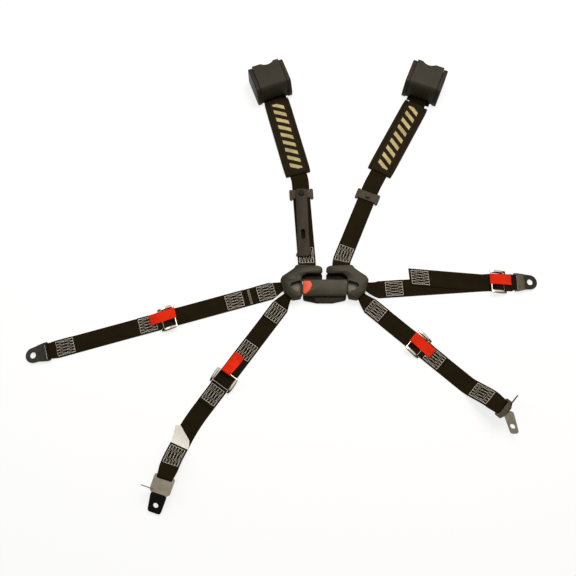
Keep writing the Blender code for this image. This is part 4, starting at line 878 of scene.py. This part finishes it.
# Label: a blank tape of cream satin, cut to a taper and tucked under the sewn end of the
# left crotch strap's anchor fold. It lies on the webbing and lifts a little at its tip.
LABEL_HIGH = ((-6, 24.4), (0, 24.4), (17.4, 27), (41.8, 34.4), (47.9, 22.4))  # along, across
LABEL_LOW = ((-6, -24.4), (0, -24.4), (9, -23.6), (24.2, -17.8), (47.9, 22.4))  # along, across
LABEL_TUCK = 6
LABEL_LENGTH = 53.4
LABEL_ROWS = 18
LABEL_COLUMNS = 12
LABEL_CLEAR = 0.15
LABEL_CURL = 5
LABEL_TIP = 48


def between(points, t):
    """The value at t on a line through points of (t, value)."""
    for (t0, v0), (t1, v1) in zip(points, points[1:]):
        if t <= t1:
            return v0 + (v1 - v0) * (t - t0) / (t1 - t0)
    return points[-1][1]


cream_satin = woven("cream satin tape", 0xFFFAF0, 0xFFFFFA, 1.2, 0.2, 0.04)
size = LIMBS["left_crotch"]
ground = anchor_ground(size["bar"], size["rise"], EASE * SETTLE)
tucked = size["bar"] - ANCHOR_GAP - size["anchor_fold"]
shape = bmesh.new()
weave = shape.loops.layers.uv.new("weave")
grid = []
for i in range(LABEL_ROWS + 1):
    t = -LABEL_TUCK + LABEL_LENGTH * i / LABEL_ROWS
    low, high = between(LABEL_LOW, t), between(LABEL_HIGH, t)
    height = (ground(tucked - t) + WEB_THICK / 2 + LABEL_CLEAR
              + LABEL_CURL * (max(t, 0) / LABEL_TIP) ** 2)
    across = [low + (high - low) * k / LABEL_COLUMNS for k in range(LABEL_COLUMNS + 1)]
    grid.append([(shape.verts.new(size["route"].spot(tucked - t, a, height)),
                  (a * MM, t * MM)) for a in across])
for one, two in zip(grid, grid[1:]):
    for k in range(LABEL_COLUMNS):
        corners = (one[k], one[k + 1], two[k + 1], two[k])
        face = shape.faces.new([vert for vert, uv in corners])
        face.smooth = True
        for loop, (vert, uv) in zip(face.loops, corners):
            loop[weave].uv = uv
label = piece_of("blank_label", shape, cream_satin)
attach(label, "left_half")


# Adjusters: bright chromed steel frames that tilt about their rear bar, each with a
# sliding lock bar that pinches the webbing against the crossbar, and rolled ears.
EAR_FRONT = ((26, -1, 0), (29, -0.5, 0), (30, 3, -0.6), (31, 12, -2))  # across, along, up
EAR_REAR = ((31, -12, 4), (30, -3, 0.9), (29, 0.5, 0), (27, 1, 0))
RIM_RADIUS = 3.3
RIM_END = 0.8
RIM_SIDES = 12


def chrome_plate(name, colour):
    """Nickel-chrome plate on pressed steel: a mirror with the faint ripple of the
    pressing, smeared in places, with a painted reflection that darkens it where it
    slopes away."""
    material, tree = start_finish(name, {"Metallic": 1})
    place = add(tree, "TexCoord").outputs["Object"]
    ripple = add(tree, "TexNoise", {"Scale": per(6), "Detail": 2}, {"Vector": place})
    smear = add(tree, "TexNoise", {"Scale": per(2), "Detail": 4}, {"Vector": place})
    tone = add(tree, "MapRange", {"To Min": 0.86, "To Max": 1.04}, {"Value": smear})
    # painted reflection: the tone follows the face's tilt, bright where a look from straight
    # above would mirror up or down, dark where it would mirror the horizon
    facing = add(tree, "SeparateXYZ", {}, {0: add(tree, "TexCoord").outputs["Normal"]})
    facing = facing.outputs["Z"]
    square = add(tree, "Math", {"operation": "MULTIPLY"}, {0: facing, 1: facing})
    double = add(tree, "Math", {"operation": "MULTIPLY_ADD", 1: 2, 2: -1}, {0: square})
    slope = add(tree, "Math", {"operation": "ABSOLUTE"}, {0: double})
    painted_reflection = add(tree, "MapRange",
                {"interpolation_type": "SMOOTHSTEP", "From Min": 0.35, "From Max": 0.92,
                 "To Min": 0.03, "To Max": 1.15}, {"Value": slope})
    tone = add(tree, "Math", {"operation": "MULTIPLY"}, {0: tone, 1: painted_reflection})
    base = add(tree, "VectorMath", {"operation": "SCALE", 0: linear(colour)[:3]},
               {"Scale": tone})
    dull = add(tree, "MapRange", {"To Min": 0.08, "To Max": 0.24}, {"Value": smear})
    bump = add(tree, "Bump", {"Strength": 0.15, "Distance": 0.3 * MM}, {"Height": ripple})
    end_finish(tree, base, dull, bump)
    return material


chrome = chrome_plate("chromed steel", 0xC6BDAB)
dress([limb + "_adjuster_frame" for limb in LIMBS], chrome, 1.1, 3)
dress([limb + "_lock_bar" for limb in LIMBS], chrome, 0.3, 1)
for limb, size in LIMBS.items():
    front, rear = size["adjuster"] - CROSSBAR_AT, size["adjuster"] + REAR_BAR_AT
    line = [(across, front + s, CROSSBAR_LEVEL + z) for across, s, z in EAR_FRONT]
    line += [(across, rear + s, REAR_LEVEL + z) for across, s, z in EAR_REAR]
    for ear, edge in (("inner", -1), ("outer", 1)):
        spots = [size["route"].spot(s, edge * across, z) for across, s, z in line]
        shape = bmesh.new()
        rings = []
        for i, spot in enumerate(spots):
            along = spots[min(i + 1, len(spots) - 1)] - spots[max(i - 1, 0)]
            along.normalize()
            flat = along.cross(Vector((0, 0, 1))).normalized()
            up = flat.cross(along)
            radius = RIM_RADIUS * MM * (RIM_END if i in (0, len(spots) - 1) else 1)
            rings.append([shape.verts.new(spot + (flat * cos(a) + up * sin(a)) * radius)
                          for a in (2 * pi * k / RIM_SIDES for k in range(RIM_SIDES))])
        for one, two in zip(rings, rings[1:]):
            for k in range(RIM_SIDES):
                after = (k + 1) % RIM_SIDES
                shape.faces.new((one[k], one[after], two[after], two[k])).smooth = True
        shape.faces.new(rings[0][::-1])
        shape.faces.new(rings[-1])
        rim = piece_of(f"{limb}_{ear}_ear_rim", shape, chrome)
        smooth = rim.modifiers.new("Round", "SUBSURF")
        smooth.levels = smooth.render_levels = 1
        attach(rim, limb + "_adjuster")


# Pull tabs: short red webbing tapes, sewn round each adjuster's crossbar and laid along
# the strap, out over the adjuster on three limbs and back over the webbing on one.
TABS = {"left_lap": (70, 9, 1), "right_lap": (58, -7, 1), "left_crotch": (60, 7, -1),
        "right_crotch": (66, -6, 1)}  # length, shift across, way along the strap
TAB_WIDTH = 30
TAB_THICK = 1.6
TAB_TURN = 3.1
TAB_TURN_STEPS = 14
TAB_SEWN = 22
TAB_NIP = 0.6
TAB_CLEAR = 0.7
TAB_STEP = 3
TAB_ABOVE = WEB_THICK / 2 + TAB_THICK / 2 + TAB_CLEAR - CROSSBAR_LEVEL
red_webbing = woven("red polyester tape", 0xE62A0C, 0xFF6A48, 2.0, 0.06)
for limb, (length, shift, sense) in TABS.items():
    point, heading = LIMBS[limb]["route"].at(LIMBS[limb]["adjuster"] - CROSSBAR_AT)
    line = [(length, UPPER + TAB_ABOVE)]
    if sense < 0:
        line.append((CROSSBAR_AT, UPPER + TAB_ABOVE))
    else:
        line.append((CROSSBAR_AT + REAR_BAR_AT, REAR_LEVEL + REAR_TURN + TAB_ABOVE))
        line.append((CROSSBAR_AT, LOCK_LEVEL + LOCK_TURN + TAB_ABOVE))
    drop = line[-1][1] - TAB_TURN
    fall = degrees(atan2(-drop, CROSSBAR_AT))
    under = TAB_TURN + drop * TAB_SEWN / CROSSBAR_AT - TAB_THICK - TAB_NIP
    bottom = degrees(atan2(under + TAB_TURN, TAB_SEWN))
    line += arc((0, 0), TAB_TURN, 90 - fall, 270 + bottom, TAB_TURN_STEPS)
    line.append((TAB_SEWN, under))
    stations = [(sense * s, CROSSBAR_LEVEL + z, TAB_WIDTH, shift) for s, z in line]
    tape = strip(limb + "_red_tape", Route(point, heading, []), stations, red_webbing,
                 TAB_THICK, TAB_STEP)
    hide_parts(limb + "_pull_tab")
    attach(tape, limb + "_pull_tab")


# Anchors: pressed lap plates of blackened steel, and folded crotch brackets. Each bracket
# is grey on one side of its fold, with painted shade on the other: the left one has a black
# foot beyond its fold, the right one is dark before the fold and has a grey foot.
BRUSH = 0.7
blackened_steel = bare_steel("blackened steel", 0x2E2B24, 0.36, BRUSH)
grey_steel = bare_steel("grey steel", 0x7E7768, 0.4, BRUSH)
# painted shade: darker copies of the steel for the shaded side of each bracket's fold
shaded_black_steel = bare_steel("black steel with painted shade", 0x15130F, 0.45, BRUSH)
shaded_dark_steel = bare_steel("dark steel with painted shade", 0x3E382D, 0.42, BRUSH)
dress(pair("lap_anchor_plate"), blackened_steel, 0.7, 3)
# The darker finish on one side of each fold is painted shade: beyond the fold on the left,
# before it on the right.
for side, near, far, fold in (
    ("left", grey_steel, shaded_black_steel, 43.5),
    ("right", shaded_dark_steel, grey_steel, 24),
):
    dress([side + "_crotch_bracket"], near, 0.5)
    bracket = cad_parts[side + "_crotch_bracket"]
    bracket.data.materials.append(far)
    size = LIMBS[side + "_crotch"]
    point, heading = size["route"].at(size["bar"])
    along = Vector((cos(radians(heading)), sin(radians(heading))))
    for polygon in bracket.data.polygons:
        reach = (bracket.matrix_world @ polygon.center).xy / MM - point
        polygon.material_index = 1 if reach.dot(along) > fold else 0
